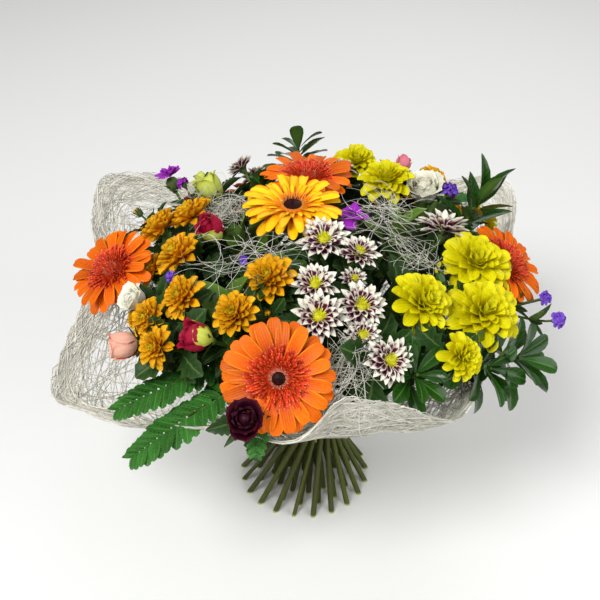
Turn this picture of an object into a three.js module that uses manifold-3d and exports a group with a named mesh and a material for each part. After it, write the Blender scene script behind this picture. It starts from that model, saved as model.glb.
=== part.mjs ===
// A round hand-tied bouquet. Its cut stems are bound in a spiral and stand unheld on their own splayed
// ends. They carry a dome of gerberas, spray chrysanthemums, roses, purple filler flowers and leaves,
// with an open fibre sheet gathered round them by the same string.
// Millimetres, +Z up. The origin is on the ground in the middle of the bouquet, and the side that is
// seen from the front looks along -Y.
import * as THREE from "three";
import { mergeVertices } from "three/addons/utils/BufferGeometryUtils.js";
import Module from "manifold-3d";

const wasm = await Module();
wasm.setup();

// ---- Driving dimensions ----
const DOME = { top: 335, drop: 45, reach: 190, rise: 0.06 }; // rise: mm up for each mm to the back
const TILT_AT_REACH = 55; // degrees that an outer flower leans outwards
const BINDING_HEIGHT = 105;
const FOOT_REACH = 70; // how far the outer stems splay on the ground
const RING_PITCH = 5.4; // stems pass the binding in rings, one inside the other
const OUTER_RING = 4;
const STRAIGHT_ABOVE_BINDING = 25;
const CUT_ALLOWANCE = 8; // each stem starts below the ground and is cut off level with it
const SPIRAL_TURN = 83; // degrees from a stem's place in the binding to its flower
const FIRM_SHARE = 0.82; // the share of a flower's width that its soft petal tips don't give way in
const CLEARANCE = 0.3;

const STEM_WIDTH = { gerbera: 5.2, spray: 5, rose: 5, filler: 5, leafy: 5 };
const STEM = { sides: 6, steps: 7 };
const BRANCH = { width: 2.6, length: 62, sides: 4, steps: 3 }; // leaves the main stem below its flower
// How far a stem and a branch run on straight at each end of their bend, as shares of its span.
const STEM_HANDLE = { leaving: 0.36, arriving: 0.26 };
const BRANCH_HANDLE = { leaving: 0.4, arriving: 0.3 };
const STEM_SEAT = 0.8; // a stem ends this share of the way down from a flower's face to its base

const NECK = { inner: 24.4, height: 8 }; // the sheet's gathered middle, round the bound stems
const SHEET = { thickness: 1, sag: 10, columns: 40, rows: 3 };
const STRING = { radius: 1.3, pitch: 2.2, turns: 3, facets: 24, knot: 3.4 };
// Half of the knot's bow end, as steps sideways, forwards and down from the knot. The other mirrors it.
const STRING_TAIL = { width: 2.1, sides: 5, steps: 4, points: [[1, 0, 0], [9, 6.7, 4], [12, 7.7, 26]] };

const COLOURS = {
  orange: 0xf58412, gold: 0xf2b70d, white: 0xece6dc, amber: 0xd79a1c, yellow: 0xe6dc0e,
  crimson: 0x9c1230, peach: 0xeeb08a, cream: 0xe9e6c8, burgundy: 0x4a0814, pink: 0xd9798c,
  green: 0xb9c46a, purple: 0x8a1fa0, violet: 0x6b3fb0, leaf: 0x1f4a1c, fern: 0x3f8a2c,
  fibre: 0xd9d2b6, string: 0xb59a6a,
};
const ROUGHNESS = { petal: 0.7, leaf: 0.5, fibre: 0.9 };

// ---- The rim of the fibre sheet, round from the back right corner ----
const SHEET_RIM = [
  [233, 193, 269], [85, 230, 232], [-60, 226, 232], [-211, 192, 283], [-230, 120, 274], [-216, 30, 250],
  [-243, -84, 188], [-120, -172, 226], [0, -207, 241], [113, -190, 244], [172, -88, 218], [206, 46, 232],
];

// ---- Where each stem's flowers sit: [azimuth in degrees, reach in mm, lift above the dome, width] ----
// The first head is on the main stem and the others on its branches. face is the first head's
// [tilt from upright, azimuth] in degrees, where it doesn't just look out of the dome.
const FLOWERS = [
  { ring: 0, kind: "gerbera", name: "gerbera_yellow_top", colour: "gold",
    heads: [[170, 12, 8, 96]], face: [6, 270] },

  { ring: 1, kind: "gerbera", name: "gerbera_orange_top", colour: "orange",
    heads: [[88, 102, -7, 96]], face: [4, 270] },
  { ring: 1, kind: "spray", name: "white_spray_top", colour: "white",
    heads: [[291, 46, 4, 48], [313, 71, 0, 40], [303, 80, -16, 26]], face: [24, 275] },
  { ring: 1, kind: "rose", name: "rose_crimson_left", colour: "crimson",
    heads: [[185, 89, 0, 26]], face: [45, 200] },
  { ring: 1, kind: "filler", name: "purple_stock_centre", colour: "purple", heads: [[5, 44, -10, 32]] },
  { ring: 1, kind: "filler", name: "purple_sprig_inner_left", colour: "violet", heads: [[220, 73, -12, 8]] },

  { ring: 2, kind: "spray", name: "amber_spray_centre", colour: "amber",
    heads: [[249, 91, 0, 44], [243, 134, 0, 38], [255, 124, -2, 11]] },
  { ring: 2, kind: "spray", name: "amber_spray_left", colour: "amber",
    heads: [[174, 140, 2, 42], [170, 112, 4, 40], [197, 123, 0, 42], [189, 146, -18, 32]] },
  { ring: 2, kind: "spray", name: "white_spray_front", colour: "white",
    heads: [[275, 126, 0, 46], [275, 93, 0, 42], [293, 122, 0, 46], [290, 141, -9, 34]] },
  { ring: 2, kind: "spray", name: "white_spray_right", colour: "white",
    heads: [[6, 134, 0, 54]], face: [22, 60] },
  { ring: 2, kind: "spray", name: "yellow_spray_top", colour: "yellow", heads: [[49, 129, 0, 52]], face: [10, 250] },
  { ring: 2, kind: "spray", name: "yellow_spray_right", colour: "yellow", heads: [[349, 162, 0, 64]], face: [25, 290] },
  { ring: 2, kind: "spray", name: "yellow_spray_right_front", colour: "yellow", heads: [[316, 143, 0, 54]] },
  { ring: 2, kind: "rose", name: "rose_green_left", colour: "green", heads: [[141, 123, 0, 30], [133, 160, 2, 13]] },
  { ring: 2, kind: "filler", name: "purple_sprig_left", colour: "violet", heads: [[205, 134, -7, 11]] },

  { ring: 3, kind: "spray", name: "amber_spray_front_left", colour: "amber",
    heads: [[217, 172, -2, 36], [221, 144, 3, 38], [208, 174, -18, 20]] },
  { ring: 3, kind: "spray", name: "amber_spray_low_left", colour: "amber", heads: [[227, 187, 0, 34]] },
  { ring: 3, kind: "spray", name: "amber_spray_rear", colour: "amber",
    heads: [[154, 176, -24, 30], [146, 184, -40, 34], [156, 188, -2, 12]] },
  { ring: 3, kind: "spray", name: "white_spray_back_left", colour: "white",
    heads: [[116, 158, 0, 34], [108, 172, -18, 34]], face: [50, 150] },
  { ring: 3, kind: "spray", name: "white_spray_low", colour: "white", heads: [[293, 177, 0, 40]] },
  { ring: 3, kind: "spray", name: "white_spray_rear", colour: "white",
    heads: [[76, 156, -8, 36], [84, 182, -30, 40]] },
  { ring: 3, kind: "spray", name: "yellow_spray_low_right", colour: "yellow",
    heads: [[329, 184, 0, 62], [311, 202, 0, 38]], face: [30, 292] },
  { ring: 3, kind: "rose", name: "rose_white_right", colour: "cream",
    heads: [[41, 165, 0, 40]], face: [20, 230] },
  { ring: 3, kind: "rose", name: "rose_white_left", colour: "cream", heads: [[206, 175, 0, 26]] },
  { ring: 3, kind: "rose", name: "rose_cream_rear", colour: "cream", heads: [[95, 152, -12, 32]] },
  { ring: 3, kind: "rose", name: "rose_crimson_front", colour: "crimson",
    heads: [[235, 163, -1, 26]], face: [62, 190] },
  { ring: 3, kind: "rose", name: "rose_pink_back", colour: "pink", heads: [[56, 194, 8, 18]] },
  { ring: 3, kind: "filler", name: "purple_stock_left", colour: "purple",
    heads: [[141, 180, 10, 24], [142, 160, 6, 12]] },
  { ring: 3, kind: "filler", name: "purple_sprig_back_right", colour: "violet", heads: [[33, 180, 6, 16]] },

  { ring: 4, kind: "gerbera", name: "gerbera_orange_front", colour: "orange",
    heads: [[263, 183, 4, 96]], face: [55, 268] },
  { ring: 4, kind: "gerbera", name: "gerbera_orange_left", colour: "orange",
    heads: [[187, 185, -3, 90]], face: [36, 215] },
  { ring: 4, kind: "gerbera", name: "gerbera_orange_right", colour: "orange",
    heads: [[359, 194, -5, 90]], face: [38, 332] },
  { ring: 4, kind: "gerbera", name: "gerbera_orange_rear", colour: "orange",
    heads: [[106, 195, -51, 86]], face: [62, 104] },
  { ring: 4, kind: "gerbera", name: "gerbera_yellow_rear", colour: "gold",
    heads: [[60, 202, -44, 92]], face: [64, 58] },
  { ring: 4, kind: "spray", name: "amber_spray_back_right", colour: "amber",
    heads: [[36, 208, -24, 26], [45, 196, 6, 32]] },
  { ring: 4, kind: "spray", name: "yellow_spray_back", colour: "yellow",
    heads: [[71, 178, 0, 46], [84, 206, -36, 38]], face: [20, 290] },
  { ring: 4, kind: "spray", name: "yellow_spray_far_right", colour: "yellow", heads: [[21, 199, 0, 30]] },
  { ring: 4, kind: "rose", name: "rose_peach_left", colour: "peach",
    heads: [[216, 197, -10, 28]], face: [86, 192] },
  { ring: 4, kind: "rose", name: "rose_burgundy_front", colour: "burgundy",
    heads: [[257, 217, 6, 30]], face: [40, 262] },
  { ring: 4, kind: "rose", name: "rose_crimson_rear", colour: "crimson", heads: [[126, 206, -44, 30]] },
  { ring: 4, kind: "filler", name: "purple_sprig_right", colour: "violet",
    heads: [[350, 230, 0, 12], [346, 244, -2, 14]] },
];

// tip is [azimuth, reach, lift] of the branch's end, face its direction there, and leaf the length and
// width of one leaf, or of the whole blade of a fern.
const FOLIAGE = [
  { ring: 1, kind: "broad", name: "salal_crown_left",
    tip: [186, 58, -26], face: [20, 180], leaf: [42, 24], leaves: 4 },

  { ring: 2, kind: "broad", name: "salal_centre",
    tip: [232, 111, -30], face: [10, 240], leaf: [46, 24], leaves: 3 },
  { ring: 2, kind: "broad", name: "salal_right",
    tip: [16, 96, -20], face: [25, 20], leaf: [36, 24], leaves: 4 },
  { ring: 2, kind: "whorl", name: "pittosporum_crown_back",
    tip: [112, 118, -16], face: [25, 110], leaf: [30, 12], leaves: 6 },

  { ring: 3, kind: "whorl", name: "pittosporum_inner_right",
    tip: [332, 144, -18], face: [28, 332], leaf: [27, 11], leaves: 6 },
  { ring: 3, kind: "lance", name: "ruscus_back_right",
    tip: [14, 180, 36], face: [22, 15], leaf: [36, 12], leaves: 7, steps: 12 },

  { ring: 4, kind: "whorl", name: "pittosporum_right",
    tip: [333, 219, -27], face: [60, 325], leaf: [44, 17], leaves: 7 },
  { ring: 4, kind: "whorl", name: "pittosporum_front_right",
    tip: [301, 187, -18], face: [68, 300], leaf: [44, 17], leaves: 7 },
  { ring: 4, kind: "whorl", name: "pittosporum_low_right",
    tip: [322, 207, -21], face: [74, 322], leaf: [42, 16], leaves: 7 },
  { ring: 4, kind: "whorl", name: "pittosporum_back",
    tip: [92, 196, 10], face: [30, 92], leaf: [38, 16], leaves: 7 },
  { ring: 4, kind: "whorl", name: "pittosporum_rear_left",
    tip: [168, 188, -26], face: [50, 163], leaf: [28, 12], leaves: 7 },
  { ring: 4, kind: "frond", name: "fern_upper_left",
    tip: [230, 178, -42], face: [88, 212], leaf: [56, 36], leaves: 6 },
  { ring: 4, kind: "frond", name: "fern_lower_left",
    tip: [239, 196, -44], face: [98, 216], leaf: [58, 38], leaves: 6 },
  { ring: 4, kind: "frond", name: "fern_front",
    tip: [259, 208, -20], face: [124, 264], leaf: [32, 22], leaves: 5 },
  { ring: 4, kind: "frond", name: "fern_rear_right",
    tip: [47, 200, -30], face: [74, 44], leaf: [90, 34], leaves: 8 },
];

// Loose curls of fibre between the flowers: their middle, half their length, width and height, and the
// degrees that they are turned.
const SISAL = [
  { name: "sisal_curl_front", place: [38, -174, 228], half: [24, 13, 5], turn: 20 },
  { name: "sisal_curl_left", place: [-96, 28, 303], half: [17, 12, 4], turn: -20 },
];

// ---- Helpers ----
const ALONG_PROFILE = new THREE.Vector3(0, 1, 0); // the axis that three.js turns a profile about
const { degToRad } = THREE.MathUtils;

// The direction `tilt` degrees off upright, towards `azimuth`.
function facing([tilt, azimuth]) {
  const off = degToRad(tilt);
  const around = degToRad(azimuth);
  return new THREE.Vector3(Math.sin(off) * Math.cos(around), Math.sin(off) * Math.sin(around), Math.cos(off));
}

function tiltAt(reach) {
  return (TILT_AT_REACH * reach) / DOME.reach;
}

function onDome([azimuth, reach, lift]) {
  const x = reach * Math.cos(degToRad(azimuth));
  const y = reach * Math.sin(degToRad(azimuth));
  return new THREE.Vector3(x, y, DOME.top - DOME.drop * (reach / DOME.reach) ** 2 + DOME.rise * y + lift);
}

function solidOf(geometry) {
  geometry.deleteAttribute("normal");
  geometry.deleteAttribute("uv");
  const merged = mergeVertices(geometry, 1e-4);
  return new wasm.Manifold(new wasm.Mesh({
    numProp: 3,
    vertProperties: merged.attributes.position.array,
    triVerts: new Uint32Array(merged.index.array),
  }));
}

function joined(solids) {
  return solids.reduce((whole, piece) => whole.add(piece));
}

function meshOf(name, solid, colour, roughness) {
  const { vertProperties, triVerts } = solid.getMesh();
  const geometry = new THREE.BufferGeometry();
  geometry.setAttribute("position", new THREE.BufferAttribute(vertProperties, 3));
  geometry.setIndex(new THREE.BufferAttribute(triVerts, 1));
  geometry.computeVertexNormals();
  const material = new THREE.MeshStandardMaterial({ color: COLOURS[colour], roughness, metalness: 0 });
  const mesh = new THREE.Mesh(geometry, material);
  mesh.name = name;
  return mesh;
}

function tube(path, width, sides, steps) {
  const corners = new THREE.EllipseCurve(0, 0, width / 2, width / 2).getPoints(sides).slice(0, sides);
  const section = new THREE.Shape(corners);
  return solidOf(new THREE.ExtrudeGeometry(section, { steps, extrudePath: path, bevelEnabled: false }));
}

// A profile of [radius, height] turned about the line from `place` along `axis`. Every second point of
// its widest edge is drawn in to `scallop` of its radius.
function turned(profile, segments, place, axis, scallop) {
  const geometry = new THREE.LatheGeometry(profile.map(([r, h]) => new THREE.Vector2(r, h)), segments);
  const widest = Math.max(...profile.map(([r]) => r));
  const position = geometry.attributes.position;
  for (let i = 0; i < position.count; i++) {
    const column = Math.floor(i / profile.length);
    const [x, y, z] = [position.getX(i), position.getY(i), position.getZ(i)];
    const atEdge = Math.hypot(x, z) > widest * 0.99;
    if (atEdge && column % 2) position.setXYZ(i, x * scallop, y, z * scallop);
  }
  geometry.applyQuaternion(new THREE.Quaternion().setFromUnitVectors(ALONG_PROFILE, axis));
  geometry.translate(place.x, place.y, place.z);
  return solidOf(geometry);
}

// ---- Stems: straight and tangent to their ring through the binding, then a bend up to the flower ----
function stemPath(ring, slot, end, direction) {
  const radius = ring * RING_PITCH;
  const foot = (FOOT_REACH * ring) / OUTER_RING;
  const slope = Math.sqrt(foot ** 2 - radius ** 2) / BINDING_HEIGHT;
  const angle = degToRad(slot);
  const at = (z) => new THREE.Vector3(
    radius * Math.cos(angle) - slope * (z - BINDING_HEIGHT) * Math.sin(angle),
    radius * Math.sin(angle) + slope * (z - BINDING_HEIGHT) * Math.cos(angle),
    z,
  );
  const start = at(-CUT_ALLOWANCE);
  const bend = at(BINDING_HEIGHT + STRAIGHT_ABOVE_BINDING);
  const onwards = bend.clone().sub(start).normalize();
  const path = new THREE.CurvePath();
  path.add(new THREE.LineCurve3(start, bend));
  path.add(bentBetween(bend, onwards, end, direction, STEM_HANDLE));
  return path;
}

function branchPath(main, end, direction) {
  const fraction = 1 - BRANCH.length / main.getLength();
  return bentBetween(main.getPointAt(fraction), main.getTangentAt(fraction), end, direction, BRANCH_HANDLE);
}

// A smooth bend from `start`, which it leaves along `leaving`, to `end`, where it runs along `arriving`.
function bentBetween(start, leaving, end, arriving, handle) {
  const span = start.distanceTo(end);
  const first = start.clone().addScaledVector(leaving, span * handle.leaving);
  const last = end.clone().addScaledVector(arriving, -span * handle.arriving);
  return new THREE.CubicBezierCurve3(start, first, last, end);
}

// ---- Flower heads. Each profile's origin is the middle of the flower's face, `base` above its stalk. ----
const GERBERA = { base: 12, hub: 7, rim: -0.5, crest: 5, eye: 3 };
const HEADS = {
  gerbera: (r) => ({
    base: GERBERA.base, segments: 16, scallop: 0.88,
    profile: [
      [0, -GERBERA.base], [GERBERA.hub, 2 - GERBERA.base], [r, GERBERA.rim],
      [r * 0.45, 1.5], [r * 0.3, GERBERA.crest], [0, GERBERA.eye],
    ],
  }),
  spray: (r) => ({
    base: r * 0.62, segments: 8, scallop: 0.86,
    profile: [[0, -r * 0.62], [r, -r * 0.12], [r * 0.62, r * 0.3], [0, r * 0.34]],
  }),
  rose: (r) => ({
    base: r * 1.15, segments: 7, scallop: 1,
    profile: [[0, -r * 1.15], [r * 0.94, -r * 0.4], [r, r * 0.45], [0, r * 0.6]],
  }),
  filler: (r) => ({
    base: r, segments: 6, scallop: 1,
    profile: [[0, -r], [r, -r * 0.1], [0, r * 0.7]],
  }),
};

function flowerSolid(flower, slot) {
  let main = null;
  const solids = flower.heads.map(([azimuth, reach, lift, width], i) => {
    const outwards = facing([tiltAt(reach), azimuth]);
    const axis = i === 0 && flower.face ? facing(flower.face) : outwards.clone();
    const centre = onDome([azimuth, reach, lift]);
    const head = HEADS[flower.kind]((width / 2) * FIRM_SHARE);
    const end = centre.clone().addScaledVector(axis, -head.base * STEM_SEAT);
    // The neck bends, so the stem arrives between the flower's own facing and the way out of the dome.
    const arrival = outwards.add(axis).normalize();
    const path = main ? branchPath(main, end, arrival) : stemPath(flower.ring, slot, end, arrival);
    const stalk = main
      ? tube(path, BRANCH.width, BRANCH.sides, BRANCH.steps)
      : tube(path, STEM_WIDTH[flower.kind], STEM.sides, STEM.steps);
    main ??= path;
    return stalk.add(turned(head.profile, head.segments, centre, axis, head.scallop));
  });
  return joined(solids);
}

// ---- Leaves ----
const LEAF = { thickness: 0.9, stalk: 1.6, widestAt: 0.55 };
const GOLDEN_ANGLE = 137.5;

// How far the leaves spread from the branch, in degrees, from the one at its tip to the lowest, and the
// length of branch that they grow on.
const LEAF_SETS = {
  whorl: { spread: [38, 64], over: 22 },
  broad: { spread: [14, 48], over: 26 },
  lance: { spread: [14, 44], over: 48 },
};

// A fern's blade as shares: its half width follows the sine of this stretch of half a turn, its notches
// reach this far out, and its teeth point this far forwards.
const FROND = { sineFrom: 0.18, sineOver: 0.78, notch: 0.35, tooth: 0.07, stub: 3 };

// A flat outline with its own x axis laid along `along` and its upper face turned towards `normal`.
function bladeSolid(points, base, along, normal) {
  const outline = new THREE.Shape(points.map(([x, y]) => new THREE.Vector2(x, y)));
  const geometry = new THREE.ExtrudeGeometry(outline, { depth: LEAF.thickness, bevelEnabled: false });
  geometry.translate(0, 0, -LEAF.thickness / 2);
  const side = normal.clone().cross(along).normalize();
  geometry.applyMatrix4(new THREE.Matrix4().makeBasis(along, side, along.clone().cross(side)));
  geometry.translate(base.x, base.y, base.z);
  return solidOf(geometry);
}

// A direction `spread` degrees off `axis`, turned `around` degrees about it.
function splayed(axis, spread, around) {
  const side = new THREE.Vector3(0, 0, 1).cross(axis).normalize();
  return axis.clone().applyAxisAngle(side, degToRad(spread)).applyAxisAngle(axis, degToRad(around));
}

function leafSolids(plant, main, axis) {
  const [length, width] = plant.leaf;
  const { spread: [first, last], over } = LEAF_SETS[plant.kind];
  const widest = length * LEAF.widestAt;
  const outline = [
    [0, -LEAF.stalk / 2], [widest, -width / 2], [length, 0], [widest, width / 2], [0, LEAF.stalk / 2],
  ];
  return Array.from({ length: plant.leaves }, (_, i) => {
    const share = i / (plant.leaves - 1);
    const base = main.getPointAt(1 - (over * share + 1) / main.getLength());
    const along = splayed(axis, first + (last - first) * share, i * GOLDEN_ANGLE);
    return bladeSolid(outline, base, along, axis);
  });
}

// A fern frond is one toothed blade in line with the branch's end.
function frondSolid(plant, end, axis) {
  const [length, width] = plant.leaf;
  const upper = [[-FROND.stub, 1]];
  for (let i = 0; i < plant.leaves; i++) {
    const share = i / plant.leaves;
    const half = (width / 2) * Math.sin(Math.PI * (FROND.sineFrom + FROND.sineOver * share));
    if (i > 0) upper.push([length * share, half * FROND.notch]);
    upper.push([length * (share + FROND.tooth), half]);
  }
  const lower = upper.map(([x, y]) => [x, -y]).reverse();
  return bladeSolid([...upper, [length, 0], ...lower], end, axis, new THREE.Vector3(0, 0, 1));
}

function foliageSolid(plant, slot) {
  const axis = facing(plant.face);
  const end = onDome(plant.tip);
  const main = stemPath(plant.ring, slot, end, axis);
  const stalk = tube(main, STEM_WIDTH.leafy, STEM.sides, plant.steps ?? STEM.steps);
  const blades = plant.kind === "frond" ? [frondSolid(plant, end, axis)] : leafSolids(plant, main, axis);
  return joined([stalk, ...blades]);
}

// ---- Every ring of stems is shared out evenly round the binding, in the order of the flowers above it ----
function azimuthOf(stem) {
  return (stem.heads ? stem.heads[0] : stem.tip)[0];
}

function slotsOf(stems) {
  const ordered = [...stems].sort((a, b) => azimuthOf(a) - azimuthOf(b));
  const step = 360 / ordered.length;
  const offset = ordered.reduce((sum, stem, i) => sum + azimuthOf(stem) - i * step, 0) / ordered.length;
  return new Map(ordered.map((stem, i) => [stem, offset + i * step - SPIRAL_TURN]));
}

// Level with the ground, so that every stem stands on its own cut face.
function cutLevel(solid) {
  return solid.trimByPlane([0, 0, 1], 0);
}

const bouquet = new THREE.Group();
const flowers = new THREE.Group();
const foliage = new THREE.Group();
const wrapping = new THREE.Group();
bouquet.add(flowers, foliage, wrapping);

for (let ring = 0; ring <= OUTER_RING; ring++) {
  const stems = [...FLOWERS, ...FOLIAGE].filter((stem) => stem.ring === ring);
  for (const [stem, slot] of slotsOf(stems)) {
    if (stem.heads) {
      const solid = cutLevel(flowerSolid(stem, slot));
      flowers.add(meshOf(stem.name, solid, stem.colour, ROUGHNESS.petal));
    } else {
      const colour = stem.kind === "frond" ? "fern" : "leaf";
      const solid = cutLevel(foliageSolid(stem, slot));
      foliage.add(meshOf(stem.name, solid, colour, ROUGHNESS.leaf));
    }
  }
}

// ---- The fibre sheet: from the neck round the stems out to its rim, as one thin skin ----
// One side of the skin as rows of points, `offset` outside the inner one. The lowest row is the foot of
// the neck, and the next is its top.
function skinRows(rim, offset) {
  const rows = [];
  for (let row = -1; row <= SHEET.rows; row++) {
    const share = Math.max(row, 0) / SHEET.rows;
    const line = [];
    for (let column = 0; column < SHEET.columns; column++) {
      const edge = rim.getPointAt(column / SHEET.columns);
      const angle = Math.atan2(edge.y, edge.x);
      const radius = NECK.inner + (row < 1 ? offset : 0);
      const top = BINDING_HEIGHT + NECK.height / 2;
      const point = new THREE.Vector3(radius * Math.cos(angle), radius * Math.sin(angle), top);
      point.lerp(edge, share);
      if (row === -1) point.z -= NECK.height;
      if (row > 0) point.z -= offset + SHEET.sag * Math.sin(Math.PI * share);
      line.push(point);
    }
    rows.push(line);
  }
  return rows;
}

function sheetSolid() {
  const rim = new THREE.CatmullRomCurve3(SHEET_RIM.map((p) => new THREE.Vector3(...p)), true, "centripetal");
  // Up the inner side and back down the outer one, so the rows close on themselves.
  const loop = [...skinRows(rim, 0), ...skinRows(rim, SHEET.thickness).reverse()];
  const positions = loop.flat().flatMap((p) => [p.x, p.y, p.z]);
  const index = [];
  for (let row = 0; row < loop.length; row++) {
    for (let column = 0; column < SHEET.columns; column++) {
      const next = (column + 1) % SHEET.columns;
      const a = row * SHEET.columns;
      const b = ((row + 1) % loop.length) * SHEET.columns;
      index.push(a + column, b + column, b + next, a + column, b + next, a + next);
    }
  }
  const geometry = new THREE.BufferGeometry();
  geometry.setAttribute("position", new THREE.Float32BufferAttribute(positions, 3));
  geometry.setIndex(index);
  return solidOf(geometry);
}
wrapping.add(meshOf("fibre_sheet", sheetSolid(), "fibre", ROUGHNESS.fibre));

// ---- The string: turns side by side round the sheet's neck, with a knot in front ----
function stringSolid() {
  const { radius, pitch, turns, facets, knot } = STRING;
  const bore = (NECK.inner + SHEET.thickness + CLEARANCE) / Math.cos(Math.PI / facets);
  const half = ((turns - 1) / 2) * pitch;
  const ridges = [];
  for (let i = 0; i < turns; i++) {
    const z = i * pitch - half;
    ridges.push([bore + radius, z - pitch / 2], [bore + 2 * radius, z]);
  }
  const low = -half - pitch / 2;
  const profile = [[bore, low], ...ridges, [bore + radius, -low], [bore, -low], [bore, low]];
  const band = new THREE.LatheGeometry(profile.map(([r, h]) => new THREE.Vector2(r, h)), facets);
  band.rotateX(Math.PI / 2);
  band.translate(0, 0, BINDING_HEIGHT);
  const front = -(bore + 2 * radius + knot / 4);
  const knotShape = new THREE.SphereGeometry(knot, 8, 6);
  knotShape.translate(0, front, BINDING_HEIGHT);
  const tails = [-1, 1].map((side) => {
    const points = STRING_TAIL.points.map(([x, forwards, down]) => (
      new THREE.Vector3(side * x, front - forwards, BINDING_HEIGHT - down)));
    const path = new THREE.QuadraticBezierCurve3(...points);
    return tube(path, STRING_TAIL.width, STRING_TAIL.sides, STRING_TAIL.steps);
  });
  return joined([solidOf(band), solidOf(knotShape), ...tails]);
}
wrapping.add(meshOf("binding_string", stringSolid(), "string", ROUGHNESS.fibre));

// ---- Loose curls of fibre, as flattened solids ----
for (const { name, place, half, turn } of SISAL) {
  const curl = new THREE.SphereGeometry(1, 10, 6);
  curl.rotateX(Math.PI / 2);
  curl.scale(...half);
  curl.rotateZ(degToRad(turn));
  curl.translate(...place);
  wrapping.add(meshOf(name, solidOf(curl), "fibre", ROUGHNESS.fibre));
}

export default bouquet;
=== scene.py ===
"""A round hand-tied bouquet: gerberas, spray chrysanthemums, roses, purple filler flowers and leaves,
with an open fibre sheet gathered round their bound stems. Metres, +Z up, standing on the ground.
"""

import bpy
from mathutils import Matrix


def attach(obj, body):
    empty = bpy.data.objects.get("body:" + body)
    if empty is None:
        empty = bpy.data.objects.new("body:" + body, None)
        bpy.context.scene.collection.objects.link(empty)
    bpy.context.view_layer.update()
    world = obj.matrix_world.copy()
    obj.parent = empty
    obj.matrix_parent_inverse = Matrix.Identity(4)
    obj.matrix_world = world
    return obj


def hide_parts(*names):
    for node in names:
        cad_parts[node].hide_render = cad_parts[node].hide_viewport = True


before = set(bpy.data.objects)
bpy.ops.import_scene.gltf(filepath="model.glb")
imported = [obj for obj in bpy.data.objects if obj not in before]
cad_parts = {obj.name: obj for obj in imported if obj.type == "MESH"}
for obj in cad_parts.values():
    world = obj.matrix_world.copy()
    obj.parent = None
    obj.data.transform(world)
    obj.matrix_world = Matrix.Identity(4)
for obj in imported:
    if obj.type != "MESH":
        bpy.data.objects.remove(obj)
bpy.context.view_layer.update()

import math
from collections import namedtuple
from functools import lru_cache

import bpy
import numpy as np
from bpy.props import FloatProperty, FloatVectorProperty, IntProperty, PointerProperty
from mathutils import Euler, Matrix, Vector

bl_info = {
    "name": "Mixed Flower Bouquet",
    "version": (1, 0, 0),
    "blender": (4, 5, 0),
    "location": "View3D > Sidebar > Bouquet",
    "description": "Grows a hand-tied bouquet of mixed flowers in its gathered fibre sheet",
    "category": "Add Mesh",
}

# ------------------------------------------------------------------------------------------------
# The bouquet's layout, in millimetres and degrees, close to the places of its solids
# ------------------------------------------------------------------------------------------------
MM = 0.001
DOME_TOP, DOME_DROP, DOME_REACH = 335, 45, 190  # the flowers' dome: its top, and its drop at its reach
DOME_RISE = 0.06  # how much it rises for each millimetre to the back
TILT_AT_REACH = 55  # how far a head on the dome's edge leans out
BINDING_HEIGHT = 105
FOOT_REACH = 70  # how far out the outer ring's cut ends stand
RING_PITCH = 5.4  # between the rings of stems at the binding
OUTER_RING = 4
STRAIGHT_ABOVE_BINDING = 25
SPIRAL_TURN = 83  # from a flower's azimuth back to its stem's place at the binding
BRANCH_LENGTH = 62
STEM_HANDLE = (0.36, 0.26)  # how stiffly a stem leaves the binding and reaches its head
BRANCH_HANDLE = (0.4, 0.3)
NECK_RADIUS, NECK_HEIGHT = 24.4, 8
SHEET_SAG = 10
SHEET_MID_RIM, SHEET_MID_REACH = 240, 195  # the rim's usual height and radius
LEAST_LEAF = 12  # the shortest leaf deep in the sheet
# Corners of the sheet's rim, round from the back right one.
SHEET_RIM = (
    (233, 193, 269), (85, 230, 232), (-60, 226, 232), (-211, 192, 283), (-230, 120, 274), (-216, 30, 250),
    (-243, -84, 188), (-120, -172, 226), (0, -207, 241), (113, -190, 244), (172, -88, 218), (206, 46, 232),
)

# A head is (azimuth, reach, lift above the dome, width). face is the first head's (tilt, azimuth).
Flower = namedtuple("Flower", "ring name colour heads face", defaults=(None,))
# tip is (azimuth, reach, lift) of the branch's end, and leaf the length and width of one leaf.
Plant = namedtuple("Plant", "ring name kind tip face leaf leaves")

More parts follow.
